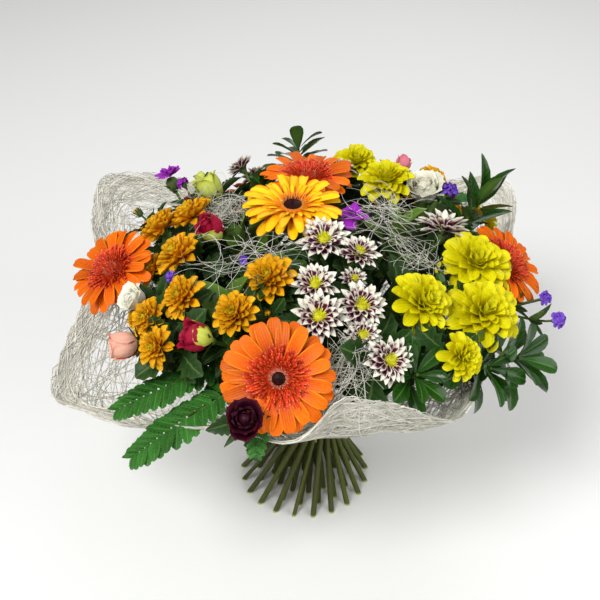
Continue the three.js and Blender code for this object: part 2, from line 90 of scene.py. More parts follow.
GERBERAS = (
    Flower(0, "gerbera_yellow_top", "gold", [(170, 12, 8, 96)], (6, 270)),
    Flower(1, "gerbera_orange_top", "orange", [(88, 102, -7, 96)], (4, 270)),
    Flower(4, "gerbera_orange_front", "orange", [(263, 183, 4, 96)], (55, 268)),
    Flower(4, "gerbera_orange_left", "orange", [(187, 185, -3, 90)], (36, 215)),
    Flower(4, "gerbera_orange_right", "orange", [(359, 194, -5, 90)], (38, 332)),
    Flower(4, "gerbera_orange_rear", "orange", [(106, 195, -51, 86)], (62, 104)),
    Flower(4, "gerbera_yellow_rear", "gold", [(60, 202, -44, 92)], (64, 58)),
)
CHRYSANTHEMUMS = (
    Flower(1, "white_spray_top", "white", [(291, 46, 4, 48), (313, 71, 0, 40), (303, 80, -16, 26)], (24, 275)),
    Flower(2, "amber_spray_centre", "amber", [(249, 91, 0, 44), (243, 134, 0, 38), (255, 124, -2, 11)]),
    Flower(2, "amber_spray_left", "amber",
           [(174, 140, 2, 42), (170, 112, 4, 40), (197, 123, 0, 42), (189, 146, -18, 32)]),
    Flower(2, "white_spray_front", "white",
           [(275, 126, 0, 46), (275, 93, 0, 42), (293, 122, 0, 46), (290, 141, -9, 34)]),
    Flower(2, "white_spray_right", "white", [(6, 134, 0, 54)], (22, 60)),
    Flower(2, "yellow_spray_top", "yellow", [(49, 129, 0, 52)], (10, 250)),
    Flower(2, "yellow_spray_right", "yellow", [(349, 162, 0, 64)], (25, 290)),
    Flower(2, "yellow_spray_right_front", "yellow", [(316, 143, 0, 54)]),
    Flower(3, "amber_spray_front_left", "amber", [(217, 172, -2, 36), (221, 144, 3, 38), (208, 174, -18, 20)]),
    Flower(3, "amber_spray_low_left", "amber", [(227, 187, 0, 34)]),
    Flower(3, "amber_spray_rear", "amber", [(154, 176, -24, 30), (146, 184, -40, 34), (156, 188, -2, 12)]),
    Flower(3, "white_spray_back_left", "white", [(116, 158, 0, 34), (108, 172, -18, 34)], (50, 150)),
    Flower(3, "white_spray_low", "white", [(293, 177, 4, 42)]),
    Flower(3, "white_spray_rear", "white", [(76, 156, -8, 36), (84, 182, -30, 40)]),
    Flower(3, "yellow_spray_low_right", "yellow", [(329, 184, 2, 62), (311, 201, 9, 38)], (30, 292)),
    Flower(4, "amber_spray_back_right", "amber", [(36, 208, -24, 26), (45, 196, 6, 32)]),
    Flower(4, "yellow_spray_back", "yellow", [(71, 178, 0, 46), (84, 206, -36, 38)], (20, 290)),
    Flower(4, "yellow_spray_far_right", "yellow", [(21, 199, 0, 30)]),
)
ROSES = (
    Flower(1, "rose_crimson_left", "crimson", [(185, 89, 0, 26)], (45, 200)),
    Flower(2, "rose_green_left", "green", [(141, 123, 0, 30), (133, 160, 2, 13)]),
    Flower(3, "rose_white_right", "cream", [(41, 165, 0, 40)], (20, 230)),
    Flower(3, "rose_white_left", "cream", [(206, 175, 0, 26)]),
    Flower(3, "rose_cream_rear", "cream", [(95, 152, -12, 32)]),
    Flower(3, "rose_crimson_front", "crimson", [(235, 163, -1, 26)], (62, 190)),
    Flower(3, "rose_pink_back", "pink", [(56, 194, 8, 18)]),
    Flower(4, "rose_peach_left", "peach", [(216, 197, -10, 28)], (86, 192)),
    Flower(4, "rose_burgundy_front", "burgundy", [(257, 217, 6, 30)], (40, 262)),
    Flower(4, "rose_crimson_rear", "crimson", [(126, 206, -44, 30)]),
)
FILLERS = (
    Flower(1, "purple_stock_centre", "purple", [(5, 44, -10, 32)]),
    Flower(1, "purple_sprig_inner_left", "violet", [(220, 73, -12, 8)]),
    Flower(2, "purple_sprig_left", "violet", [(205, 134, -7, 11)]),
    Flower(3, "purple_stock_left", "purple", [(141, 180, 9, 28), (142, 160, 6, 12)], (16, 150)),
    Flower(3, "purple_sprig_back_right", "violet", [(33, 180, 6, 16)]),
    Flower(4, "purple_sprig_right", "violet", [(350, 230, 0, 12), (346, 244, -2, 14)]),
)
BRANCHES = (
    Plant(1, "salal_crown_left", "broad", (186, 58, -26), (20, 180), (42, 24), 4),
    Plant(2, "salal_centre", "broad", (232, 111, -30), (10, 240), (46, 24), 3),
    Plant(2, "salal_right", "broad", (16, 96, -20), (25, 20), (36, 24), 4),
    Plant(2, "pittosporum_crown_back", "whorl", (112, 118, -16), (25, 110), (30, 12), 6),
    Plant(3, "pittosporum_inner_right", "whorl", (332, 144, -18), (28, 332), (27, 11), 6),
    Plant(3, "ruscus_back_right", "lance", (14, 180, 36), (22, 15), (36, 12), 7),
    Plant(4, "pittosporum_right", "whorl", (333, 219, -27), (60, 325), (44, 17), 7),
    Plant(4, "pittosporum_front_right", "whorl", (301, 183, -14), (46, 302), (36, 16), 7),
    Plant(4, "pittosporum_low_right", "whorl", (322, 207, -21), (74, 322), (42, 16), 7),
    Plant(4, "pittosporum_back", "whorl", (92, 196, 10), (30, 92), (38, 16), 7),
    Plant(4, "pittosporum_rear_left", "whorl", (168, 188, -26), (50, 163), (28, 12), 7),
)
FERNS = (
    Plant(4, "fern_upper_left", "frond", (230, 178, -42), (88, 212), (56, 36), 6),
    Plant(4, "fern_lower_left", "frond", (239, 196, -44), (98, 216), (58, 38), 6),
    Plant(4, "fern_front", "frond", (259, 208, -20), (122, 264), (20, 20), 5),
    Plant(4, "fern_rear_right", "frond", (47, 200, -34), (90, 44), (84, 30), 8),
)

# Loose fibre on the flowers, by the solid that it belongs to: the middle of a tuft, how far it spreads each
# way, the strands in it, their length, how sharply they curl and their lift above the dome.
TUFTS = {
    "sisal_curl_front": (
        ((32, -162), (13, 18), 66, 72, 0.13, -12), ((80, 24), (18, 9), 26, 90, 0.16, 2),
        ((66, -4), (14, 12), 14, 90, 0.1, 0), ((100, -46), (11, 7), 20, 60, 0.2, 0),
        ((92, -30), (20, 20), 8, 110, 0.08, -2),
    ),
    "sisal_curl_left": (
        ((-76, 22), (17, 10), 54, 80, 0.14, -2), ((-42, -54), (32, 10), 24, 110, 0.08, -2),
        ((-106, 66), (18, 14), 12, 70, 0.1, 2), ((-86, -60), (12, 20), 8, 90, 0.06, 0),
    ),
}


# ------------------------------------------------------------------------------------------------
# Colours and sizes that a user may change
# ------------------------------------------------------------------------------------------------
def linear(code):
    """The linear colour of a hex code."""
    shares = [int(code[i:i + 2], 16) / 255 for i in (0, 2, 4)]
    return tuple(s / 12.92 if s <= 0.04045 else ((s + 0.055) / 1.055) ** 2.4 for s in shares)


def colour(name, description, code):
    return FloatVectorProperty(
        name=name, description=description, default=linear(code), size=3, subtype="COLOR", min=0, max=1)


class BouquetColours(bpy.types.PropertyGroup):
    orange: colour("Orange gerbera", "Outer half of the orange gerberas' rays", "f27000")
    orange_deep: colour("Orange gerbera, base", "Inner half of the orange gerberas' rays", "d23600")
    crest: colour("Gerbera crest", "Short florets round an orange gerbera's eye", "d22a10")
    gold: colour("Golden gerbera", "Outer half of the golden gerberas' rays", "ffce06")
    # gold_deep also colours the golden rays' edges, where it is painted shade between the rays.
    gold_deep: colour("Golden gerbera, base", "Inner half of the golden gerberas' rays", "f58a0a")
    eye: colour("Gerbera eye", "The dark middle of every gerbera", "100503")
    white: colour("White chrysanthemum", "Petal tips of the white sprays", "f6f0e0")
    wine: colour("White chrysanthemum, base", "Wine-coloured blotch on the white sprays' petals", "560832")
    amber: colour("Amber chrysanthemum", "Upper side of the amber petals", "ecb416")
    amber_deep: colour("Amber chrysanthemum, edge", "Edges and undersides of the amber petals", "b25c08")
    # On the amber edges this deeper colour is partly the petals' own and partly painted shade between them.
    yellow: colour("Yellow chrysanthemum", "Petals of the yellow sprays", "e2d806")
    yellow_deep: colour("Yellow chrysanthemum, base", "Base and undersides of the yellow petals", "d2c80a")
    heart: colour("Chrysanthemum heart", "Unopened florets in the middle of a spray flower", "e2de2c")
    crimson: colour("Crimson rose", "Petals of the crimson roses", "a81238")
    peach: colour("Peach rose", "Petals of the peach rose", "f6b49c")
    cream: colour("White rose", "Petals of the white roses", "f6f3e2")
    burgundy: colour("Burgundy rose", "Petals of the burgundy rose", "36051a")
    pink: colour("Pink rose", "Petals of the pink rose", "dc7484")
    green: colour("Green rose", "Petals of the green bud", "c8d052")
    purple: colour("Purple stock", "Florets of the purple clusters", "9c24b4")
    violet: colour("Violet sprig", "Florets of the small violet sprigs", "7c50cc")
    glossy_leaf: colour("Glossy leaf", "Pittosporum and ruscus leaves", "17460a")
    broad_leaf: colour("Broad leaf", "Salal leaves", "4f6f20")
    spray_leaf: colour("Spray leaf", "Lobed leaves of the spray flowers", "1b3d10")
    fern: colour("Fern", "Fern leaflets", "2a6a20")
    stem: colour("Stem", "Cut stems", "40600c")
    fibre: colour("Fibre", "The open sheet and the loose curls", "f0ede0")
    string: colour("String", "The twisted string round the stems", "b59a6a")


def width_in_mm(name, description, default, least, most):
    return FloatProperty(name=name, description=description, default=default * MM, unit="LENGTH",
                         min=least * MM, max=most * MM)


class BouquetSizes(bpy.types.PropertyGroup):
    stem_width: width_in_mm("Stem width", "Width of a main stem", 5, 2, 10)
    branch_width: width_in_mm("Branch width", "Width of a side branch", 2.6, 1, 5)
    fibre_width: width_in_mm("Fibre width", "Width of one fibre of the sheet", 0.9, 0.2, 2)
    string_width: width_in_mm("String width", "Width of the binding string", 2.6, 1, 5)
    gerbera_rays: IntProperty(
        name="Gerbera rays", description="Long outer petals on one gerbera", default=29, min=15, max=59)
    fibre_count: IntProperty(
        name="Fibres", description="Single fibres in the sheet", default=620, min=50, max=900)


# ------------------------------------------------------------------------------------------------
# Node trees
# ------------------------------------------------------------------------------------------------
class Reading:
    """A socket's value in a tree, which can be added to, scaled and so on as a number can."""

    def __init__(self, wiring, socket):
        self.wiring, self.socket = wiring, socket

    def __add__(self, other):
        return self.wiring.calc("ADD", self, other)

    def __sub__(self, other):
        return self.wiring.calc("SUBTRACT", self, other)

    def __rsub__(self, other):
        return self.wiring.calc("SUBTRACT", other, self)

    def __mul__(self, other):
        return self.wiring.calc("MULTIPLY", self, other)

    def __truediv__(self, other):
        return self.wiring.calc("DIVIDE", self, other)

    def __pow__(self, other):
        return self.wiring.calc("POWER", self, other)

    def __neg__(self):
        return self.wiring.calc("MULTIPLY", self, -1)

    def __abs__(self):
        return self.wiring.calc("ABSOLUTE", self)


class Wiring:
    """Adds nodes to a tree and joins their sockets."""

    def __init__(self, tree):
        self.tree = tree

    def node(self, kind, inputs=None, **settings):
        node = self.tree.nodes.new(kind)
        for name, value in settings.items():
            setattr(node, name, value)
        for key, value in (inputs or {}).items():
            self.feed(node.inputs[key], value)
        return node

    def add(self, kind, inputs=None, output=0, **settings):
        """A new node's output."""
        return Reading(self, self.node(kind, inputs, **settings).outputs[output])

    def feed(self, socket, value):
        if isinstance(value, Reading):
            self.tree.links.new(value.socket, socket)
        else:
            socket.default_value = value

    def calc(self, operation, *values):
        return self.add("ShaderNodeMath", dict(enumerate(values)), operation=operation)

    def higher(self, one, other):
        return self.calc("MAXIMUM", one, other)

    def clamped(self, value):
        return self.calc("MINIMUM", self.higher(value, 0.0), 1.0)

    def between(self, share, low, high):
        return self.add("ShaderNodeMix", {0: share, 2: low, 3: high})

    def tint(self, share, low, high, blend_type="MIX"):
        return self.add("ShaderNodeMix", {0: share, 6: low, 7: high}, 2, data_type="RGBA", blend_type=blend_type)

    def shaded(self, skin, shade):
        return self.tint(1.0, skin, self.add("ShaderNodeCombineColor", {0: shade, 1: shade, 2: shade}), "MULTIPLY")

    def rise(self, value, start, stop):
        """0 up to start, 1 from stop, and smooth in between."""
        return self.add("ShaderNodeMapRange", {0: value, 1: start, 2: stop}, interpolation_type="SMOOTHSTEP")

    def vector(self, x=0.0, y=0.0, z=0.0):
        return self.add("ShaderNodeCombineXYZ", {0: x, 1: y, 2: z})

    def scaled(self, vector, by):
        return self.add("ShaderNodeVectorMath", {0: vector, 3: by}, operation="SCALE")

    def height_of(self, vector):
        return self.add("ShaderNodeSeparateXYZ", {0: vector}, 2)

    def mark(self, name):
        """One of a mesh's own per-point values, in a shader."""
        return self.add("ShaderNodeAttribute", None, "Fac", attribute_name=name)

    def noise(self, scale, detail=2.0):
        """Cloudy values about 0 that stay on the piece."""
        place = self.add("ShaderNodeTexCoord", None, "Object")
        return self.add("ShaderNodeTexNoise", {"Vector": place, "Scale": scale, "Detail": detail}) - 0.5

    def random(self, low, high, seed):
        return self.add("FunctionNodeRandomValue", {2: low, 3: high, 8: seed}, 1, data_type="FLOAT")

    def named(self, name, data_type="FLOAT"):
        """One of a mesh's own per-point values, in a geometry tree."""
        return self.add("GeometryNodeInputNamedAttribute", {"Name": name}, data_type=data_type)

    def stored(self, geometry, name, value, data_type="FLOAT"):
        return self.add("GeometryNodeStoreNamedAttribute", {"Geometry": geometry, "Name": name, "Value": value},
                        data_type=data_type)


SOCKET_KINDS = {float: "NodeSocketFloat", int: "NodeSocketInt", bool: "NodeSocketBool", tuple: "NodeSocketColor"}


def new_group(name, kind, inputs, outputs):
    """A node group's wiring, its inputs by name, and its output node."""
    tree = bpy.data.node_groups.new(name, kind)
    for label, default in inputs.items():
        if isinstance(default, str):
            tree.interface.new_socket(label, in_out="INPUT", socket_type=default)
        else:
            socket = tree.interface.new_socket(label, in_out="INPUT", socket_type=SOCKET_KINDS[type(default)])
            socket.default_value = default
    for label, socket_type in outputs.items():
        tree.interface.new_socket(label, in_out="OUTPUT", socket_type=socket_type)
    w = Wiring(tree)
    given = {socket.name: Reading(w, socket) for socket in tree.nodes.new("NodeGroupInput").outputs}
    return w, given, tree.nodes.new("NodeGroupOutput")


RUFFLE_SCALE = 6.0
GOLDEN_ANGLE = 137.508
LOOSE_SEEDS = (("Tilt", 11), ("Turn", 23), ("Size", 37))
KIND_SEED = 5


def ruffled(w, geometry, amount, seed):
    """Moves points a little along a noise that is fixed in space, so no two petals are alike."""
    place = w.add("GeometryNodeInputPosition")
    moved = w.add("ShaderNodeVectorMath", {0: place, 1: w.vector(seed)}, operation="ADD")
    noise = w.add("ShaderNodeTexNoise", {"Vector": moved, "Scale": RUFFLE_SCALE, "Detail": 1.0}, 1)
    middled = w.add("ShaderNodeVectorMath", {0: noise, 1: (0.5, 0.5, 0.5)}, operation="SUBTRACT")
    return w.add("GeometryNodeSetPosition", {"Geometry": geometry, "Offset": w.scaled(middled, amount)})


def scattered(w, given, source, count, place, rotation, size, rank, kind_seed):
    """A petal of a random kind at each place, with a tone and a rank of its own."""
    points = w.add("GeometryNodePoints", {"Count": count, "Position": place})
    points = w.stored(points, "tone", w.random(0.0, 1.0, given["Seed"]))
    points = w.stored(points, "rank", rank)
    kinds = w.add("GeometryNodeSplitToInstances", {"Geometry": given[source], "Group ID": w.named("kind", "INT")},
                  domain="FACE")
    chosen = w.add("FunctionNodeRandomValue", {4: 0, 5: given["Kinds"], 8: kind_seed}, 2, data_type="INT")
    placed = w.add("GeometryNodeInstanceOnPoints", {
        "Points": points, "Instance": kinds, "Pick Instance": True, "Instance Index": chosen,
        "Rotation": rotation, "Scale": w.vector(size, size, size)})
    return w.add("GeometryNodeRealizeInstances", {0: placed})


def with_material(w, given, out, geometry):
    """Ends a tree: its geometry gets its material and is put out."""
    w.feed(out.inputs[0], w.add("GeometryNodeSetMaterial", {"Geometry": geometry, "Material": given["Material"]}))
    return w.tree


def rosette_tree():
    """Petals, florets or leaves in a spiral round the local Z axis. The first is the innermost."""
    w, given, out = new_group("Rosette", "GeometryNodeTree", {
        "Petals": "NodeSocketGeometry", "Count": 12, "Kinds": 3, "Turn": GOLDEN_ANGLE,
        "Inner Reach": 0.0, "Outer Reach": 0.1, "Inner Height": 0.0, "Outer Height": 0.0,
        "Inner Tilt": 60.0, "Outer Tilt": 0.0, "Inner Size": 0.3, "Outer Size": 0.4, "Ease": 1.0,
        "Loose Tilt": 4.0, "Loose Turn": 4.0, "Loose Size": 0.06, "Ruffle": 0.0, "Seed": 0,
        "Material": "NodeSocketMaterial",
    }, {"Petals": "NodeSocketGeometry"})
    seed = given["Seed"]
    index = w.add("GeometryNodeInputIndex")
    share = (index / w.higher(given["Count"] - 1, 1)) ** given["Ease"]
    tilt, height, size, reach = (w.between(share, given[f"Inner {what}"], given[f"Outer {what}"])
                                 for what in ("Tilt", "Height", "Size", "Reach"))
    loose = {what: w.random(-1.0, 1.0, seed + step) * given[f"Loose {what}"] for what, step in LOOSE_SEEDS}
    turn = w.calc("RADIANS", index * given["Turn"] + loose["Turn"])
    place = w.vector(reach * w.calc("COSINE", turn), reach * w.calc("SINE", turn), height)
    lean = w.calc("RADIANS", -(tilt + loose["Tilt"]))
    rotation = w.add("FunctionNodeEulerToRotation", {0: w.vector(0.0, lean, turn)})
    whole = scattered(w, given, "Petals", given["Count"], place, rotation, size * (loose["Size"] + 1), share,
                      seed + KIND_SEED)
    return with_material(w, given, out, ruffled(w, whole, given["Ruffle"], seed))


# A frond's leaflets are longest where its outline swells, stand closer near its tip, and close up there.
SWELL_SPAN, SWELL_START, SWELL_POWER = 0.66, 0.26, 0.75
CROWDING = 1.35
TIP_CLOSING = 22


def frond_tree():
    """Leaflets in pairs along a rib that starts at the origin, runs along X and bends down."""
    w, given, out = new_group("Frond", "GeometryNodeTree", {
        "Leaflets": "NodeSocketGeometry", "Pairs": 14, "Kinds": 3, "Length": 1.0, "Half Width": 0.2,
        "Droop": 0.2, "Spread": 62.0, "Loose Turn": 4.0, "Seed": 0, "Material": "NodeSocketMaterial",
    }, {"Frond": "NodeSocketGeometry"})
    index = w.add("GeometryNodeInputIndex")
    side = w.calc("MODULO", index, 2) * 2 - 1
    share = w.calc("FLOOR", index / 2) / given["Pairs"]
    size = w.calc("SINE", (share * SWELL_SPAN + SWELL_START) * math.pi) ** SWELL_POWER * given["Half Width"]
    run = 1.0 - (1.0 - share) ** CROWDING
    drop = run * run * (given["Droop"] * given["Length"])
    spread = given["Spread"] - share * TIP_CLOSING + w.random(-1.0, 1.0, given["Seed"]) * given["Loose Turn"]
    turn = w.calc("RADIANS", spread * side)
    rotation = w.add("FunctionNodeEulerToRotation", {0: w.vector(0.0, run * given["Droop"] * 2, turn)})
    whole = scattered(w, given, "Leaflets", given["Pairs"] * 2, w.vector(run * given["Length"], 0.0, -drop),
                      rotation, size, share, given["Seed"])
    return with_material(w, given, out, whole)


START_SHARE = 1e-4  # points up to this far along a strand are its start
LEAST_RISE = 0.2


def strand_tree():
    """Round strands along lines of points, each as wide as its points say. Level Cut cuts them level
    with the ground where they start."""
    w, given, out = new_group("Strands", "GeometryNodeTree", {
        "Lines": "NodeSocketGeometry", "Sides": 8, "Level Cut": False, "Material": "NodeSocketMaterial",
    }, {"Strands": "NodeSocketGeometry"})
    lines = w.add("GeometryNodeMeshToCurve", {"Mesh": given["Lines"]})
    lines = w.stored(lines, "lean", w.add("GeometryNodeInputTangent"), "FLOAT_VECTOR")
    circle = w.add("GeometryNodeCurvePrimitiveCircle", {"Resolution": given["Sides"], "Radius": 0.5})
    circle = w.stored(circle, "across", w.add("GeometryNodeSplineParameter") * 2 - 1)
    tubes = w.add("GeometryNodeCurveToMesh", {
        "Curve": lines, "Profile Curve": circle, "Scale": w.named("width"), "Fill Caps": True})
    lean = w.named("lean", "FLOAT_VECTOR")
    height = w.height_of(w.add("GeometryNodeInputPosition"))
    slide = -(height / w.higher(w.height_of(lean), LEAST_RISE))
    cut = w.add("GeometryNodeSetPosition", {
        "Geometry": tubes, "Selection": w.calc("LESS_THAN", w.named("along"), START_SHARE) * given["Level Cut"],
        "Offset": w.scaled(lean, slide)})
    return with_material(w, given, out, w.add("GeometryNodeRealizeInstances", {0: cut}))


# ------------------------------------------------------------------------------------------------
# Meshes as arrays
# ------------------------------------------------------------------------------------------------
# Per-point values: along a petal from base to tip, across it from -1 to 1, 1 on its upper side,
# a random tone for each petal, and its rank from the innermost at 0 to the outermost at 1.
MARKS = ("along", "across", "upper", "tone", "rank")


class Shape:
    """Points, faces and marks of a mesh with one material."""

    def __init__(self, points, corners, sizes, marks, material=None):
        self.points = points
        self.corners = corners
        self.sizes = sizes
        self.marks = marks
        self.material = material

    def placed(self, matrix):
        turned = np.array(matrix.to_3x3())
        points = self.points @ turned.T + np.array(matrix.translation)
        return Shape(points, self.corners, self.sizes, self.marks, self.material)


def shape_of(mesh):
    points = np.empty(len(mesh.vertices) * 3, np.float32)
    mesh.vertices.foreach_get("co", points)
    corners = np.empty(len(mesh.loops), np.int32)
    mesh.loops.foreach_get("vertex_index", corners)
    sizes = np.empty(len(mesh.polygons), np.int32)
    mesh.polygons.foreach_get("loop_total", sizes)
    marks = {}
    for name in MARKS:
        marks[name] = np.zeros(len(mesh.vertices), np.float32)
        held = mesh.attributes.get(name)
        if held and held.domain == "POINT" and held.data_type == "FLOAT":
            held.data.foreach_get("value", marks[name])
    material = mesh.materials[-1] if mesh.materials else None
    return Shape(points.reshape(-1, 3), corners, sizes, marks, material)


def mesh_of(name, shapes, marks=MARKS):
    """One mesh of all the shapes, with a material slot for each of their materials."""
    mesh = bpy.data.meshes.new(name)
    firsts = np.cumsum([0] + [len(s.points) for s in shapes])
    mesh.vertices.add(int(firsts[-1]))
    mesh.vertices.foreach_set("co", np.concatenate([s.points for s in shapes]).astype(np.float32).ravel())
    corners = np.concatenate([s.corners + first for s, first in zip(shapes, firsts)]).astype(np.int32)
    mesh.loops.add(len(corners))
    mesh.loops.foreach_set("vertex_index", corners)
    sizes = np.concatenate([s.sizes for s in shapes])
    mesh.polygons.add(len(sizes))
    mesh.polygons.foreach_set("loop_start", np.concatenate(([0], np.cumsum(sizes)[:-1])).astype(np.int32))
    materials = list(dict.fromkeys(s.material for s in shapes))
    for material in filter(None, materials):
        mesh.materials.append(material)
    looks = np.concatenate([np.full(len(s.sizes), materials.index(s.material), np.int32) for s in shapes])
    mesh.polygons.foreach_set("material_index", looks)
    mesh.polygons.foreach_set("use_smooth", np.ones(len(sizes), bool))
    for mark in marks:
        attribute = mesh.attributes.new(mark, "FLOAT", "POINT")
        attribute.data.foreach_set("value", np.concatenate([s.marks[mark] for s in shapes]).astype(np.float32))
    mesh.update(calc_edges=True)
    return mesh


SHARP_ANGLE = math.radians(70)


def piece(name, shapes, slot, *nodes):
    """A finished piece at the origin that stands for its nodes."""
    mesh = mesh_of(name, shapes)
    mesh.set_sharp_from_angle(angle=SHARP_ANGLE)
    made = bpy.data.objects.new(name, mesh)
    bpy.context.scene.collection.objects.link(made)
    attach(made, "root")
    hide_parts(*nodes)
    return made


def grown(tree, source, **inputs):
    """What a tree makes from a source mesh, as a shape. The tree's inputs are named with _ for a space."""
    holder = bpy.data.objects.new("growing", source)
    bpy.context.scene.collection.objects.link(holder)
    modifier = holder.modifiers.new("Growth", "NODES")
    modifier.node_group = tree
    wanted = {key.replace("_", " "): value for key, value in inputs.items()}
    for item in tree.interface.items_tree:
        if item.in_out == "INPUT" and item.name in wanted:
            modifier[item.identifier] = wanted.pop(item.name)
    if wanted:
        raise KeyError(f"{tree.name} has no input named {', '.join(wanted)}")
    graph = bpy.context.evaluated_depsgraph_get()
    mesh = bpy.data.meshes.new_from_object(
        holder.evaluated_get(graph), preserve_all_data_layers=True, depsgraph=graph)
    shape = shape_of(mesh)
    bpy.data.objects.remove(holder)
    bpy.data.meshes.remove(mesh)
    return shape


# ------------------------------------------------------------------------------------------------
# Petals and leaves: closed thin blades of length 1 along X, their upper side towards Z
# ------------------------------------------------------------------------------------------------
def grid_faces(rows, columns):
    """Corners of the quads of a two-sided blade whose sides share their rim, and its point numbers."""
    upper = np.arange((rows + 1) * (columns + 1)).reshape(rows + 1, columns + 1)
    lower = upper.copy()
    inner = (rows - 1) * (columns - 1)
    lower[1:-1, 1:-1] = upper.size + np.arange(inner).reshape(rows - 1, columns - 1)
    quads = []
    for sheet, turned in ((upper, False), (lower, True)):
        ring = [sheet[:-1, :-1], sheet[1:, :-1], sheet[1:, 1:], sheet[:-1, 1:]]
        quads.append(np.stack(ring[::-1] if turned else ring, axis=-1).reshape(-1, 4))
    return np.concatenate(quads), upper.size + inner


Blade = namedtuple("Blade", "outline columns width bend tip_bend cup groove grooves twist thickness teeth",
                   defaults=(0, 0, 0, 0, 0, 0, 0.012, 0))
Cup = namedtuple("Cup", "outline columns profile lip thickness", defaults=(0.05, 0.02))


def outlined(form):
    """Shares along a blade and its half width at each, with every second one drawn in for teeth."""
    shares, halves = (np.array(values, float) for values in zip(*form.outline))
    teeth = getattr(form, "teeth", 0)
    if teeth:
        steps = np.linspace(0, 1, 2 * teeth + 1)
        halves = np.interp(steps, shares, halves) * np.where(np.arange(len(steps)) % 2, 1.0, 0.78)
        shares = steps
    return shares, halves


def arched(form, shares, halves, across, bend, twist):
    """A blade's mid-surface and its upward normals: an arc along X with a cupped or grooved section."""
    angle = np.radians(bend * shares + form.tip_bend * shares ** 3)
    steps = np.diff(shares, prepend=0)
    x = np.cumsum(steps * np.cos(angle))[:, None]
    z = np.cumsum(steps * np.sin(angle))[:, None]
    y = halves[:, None] * across * form.width / 2
    lift = form.cup * halves[:, None] * form.width * across ** 2
    lift = lift + form.groove * form.width * halves[:, None] * np.cos(math.pi * form.grooves * across)
    roll = np.radians(twist) * shares[:, None]
    y, lift = y * np.cos(roll) - lift * np.sin(roll), y * np.sin(roll) + lift * np.cos(roll)
    sine, cosine = np.sin(angle)[:, None], np.cos(angle)[:, None]
    middle = np.stack([x - lift * sine, y, z + lift * cosine], axis=-1)
    normal = np.stack([-sine + 0 * y, 0 * y, cosine + 0 * y], axis=-1)
    return middle, normal


# How much lower a cup's petal is at its sides, how far its sides curl out, and how far round it reaches.
CUP_SIDE_DROP, CUP_SIDE_CURL, CUP_HALF_TURN = 0.12, 0.07, 78


def cupped(form, shares, halves, across, bend):
    """A rose petal's mid-surface: part of a turned cup, its inner side towards the cup's axis."""
    heights, radii = (np.array(values, float) for values in zip(*form.profile))
    edge = np.abs(across) * halves[:, None]
    up = shares[:, None] * (1 - CUP_SIDE_DROP * edge ** 2)
    curl = form.lip * shares[:, None] ** 4 * (1 + bend) + CUP_SIDE_CURL * np.abs(across) ** 6 * shares[:, None]
    radius = np.interp(up, heights, radii) + curl
    turn = np.radians(CUP_HALF_TURN) * across * halves[:, None]
    middle = np.stack([radius * np.cos(turn), radius * np.sin(turn), up + 0 * turn], axis=-1)
    normal = np.stack([-np.cos(turn), -np.sin(turn), 0 * turn], axis=-1)
    return middle, normal


KINDS = 3
KIND_BENDS = (0.0, 1.0, -1.0)
BEND_STEP, TWIST_STEP, CUP_BEND_STEP = 8.0, 10.0, 0.8


def blades(name, form):
    """A mesh with three kinds of the same petal, which differ in their bend and twist."""
    shares, halves = outlined(form)
    across = np.linspace(-1, 1, form.columns + 1)[None, :]
    quads, count = grid_faces(len(shares) - 1, form.columns)
    shapes = []
    for step in KIND_BENDS:
        if isinstance(form, Cup):
            middle, normal = cupped(form, shares, halves, across, CUP_BEND_STEP * step)
        else:
            bend, twist = form.bend + BEND_STEP * step, form.twist + TWIST_STEP * step
            middle, normal = arched(form, shares, halves, across, bend, twist)
        half = normal * form.thickness / 2
        upper, lower = middle + half, middle - half
        rim = np.ones(middle.shape[:2], bool)
        rim[1:-1, 1:-1] = False
        upper[rim] = middle[rim]
        inner = ~rim
        points = np.concatenate([upper.reshape(-1, 3), lower[inner].reshape(-1, 3)])
        spread = [np.broadcast_to(shares[:, None], rim.shape), np.broadcast_to(across, rim.shape)]
        marks = {mark: np.zeros(count, np.float32) for mark in MARKS}
        marks["along"] = np.concatenate([spread[0].ravel(), spread[0][inner]])
        marks["across"] = np.concatenate([spread[1].ravel(), spread[1][inner]])
        marks["upper"] = np.concatenate([np.where(rim, 0.6, 1.0).ravel(), np.zeros(inner.sum())])
        shapes.append(Shape(points, quads.ravel(), np.full(len(quads), 4), marks))
    mesh = mesh_of(name, shapes, MARKS[:3])
    kinds = np.repeat(np.arange(KINDS), len(quads)).astype(np.int32)
    mesh.attributes.new("kind", "INT", "FACE").data.foreach_set("value", kinds)
    return mesh


def lathed(profile, sides, material, tone=0.5):
    """A closed solid turned about Z from a list of (radius, height) that starts and ends on the axis."""
    inner = profile[1:-1]
    turn = np.arange(sides) * 2 * math.pi / sides
    rings = [np.stack([r * np.cos(turn), r * np.sin(turn), np.full(sides, h)], axis=-1) for r, h in inner]
    points = np.concatenate([[[0, 0, profile[0][1]]], *rings, [[0, 0, profile[-1][1]]]]).astype(np.float32)
    corners, sizes = [], []
    last = len(points) - 1
    for i in range(sides):
        j = (i + 1) % sides
        corners += [0, 1 + j, 1 + i]
        sizes.append(3)
        for ring in range(len(inner) - 1):
            a, b = 1 + ring * sides, 1 + (ring + 1) * sides
            corners += [a + i, a + j, b + j, b + i]
            sizes.append(4)
        top = 1 + (len(inner) - 1) * sides
        corners += [top + i, top + j, last]
        sizes.append(3)
    marks = {mark: np.zeros(len(points), np.float32) for mark in MARKS}
    low, high = profile[0][1], profile[-1][1]
    marks["along"] = (points[:, 2] - low) / (high - low)
    marks["tone"] += tone
    marks["upper"] += 1
    marks["rank"] += 1
    return Shape(points, np.array(corners, np.int32), np.array(sizes, np.int32), marks, material)


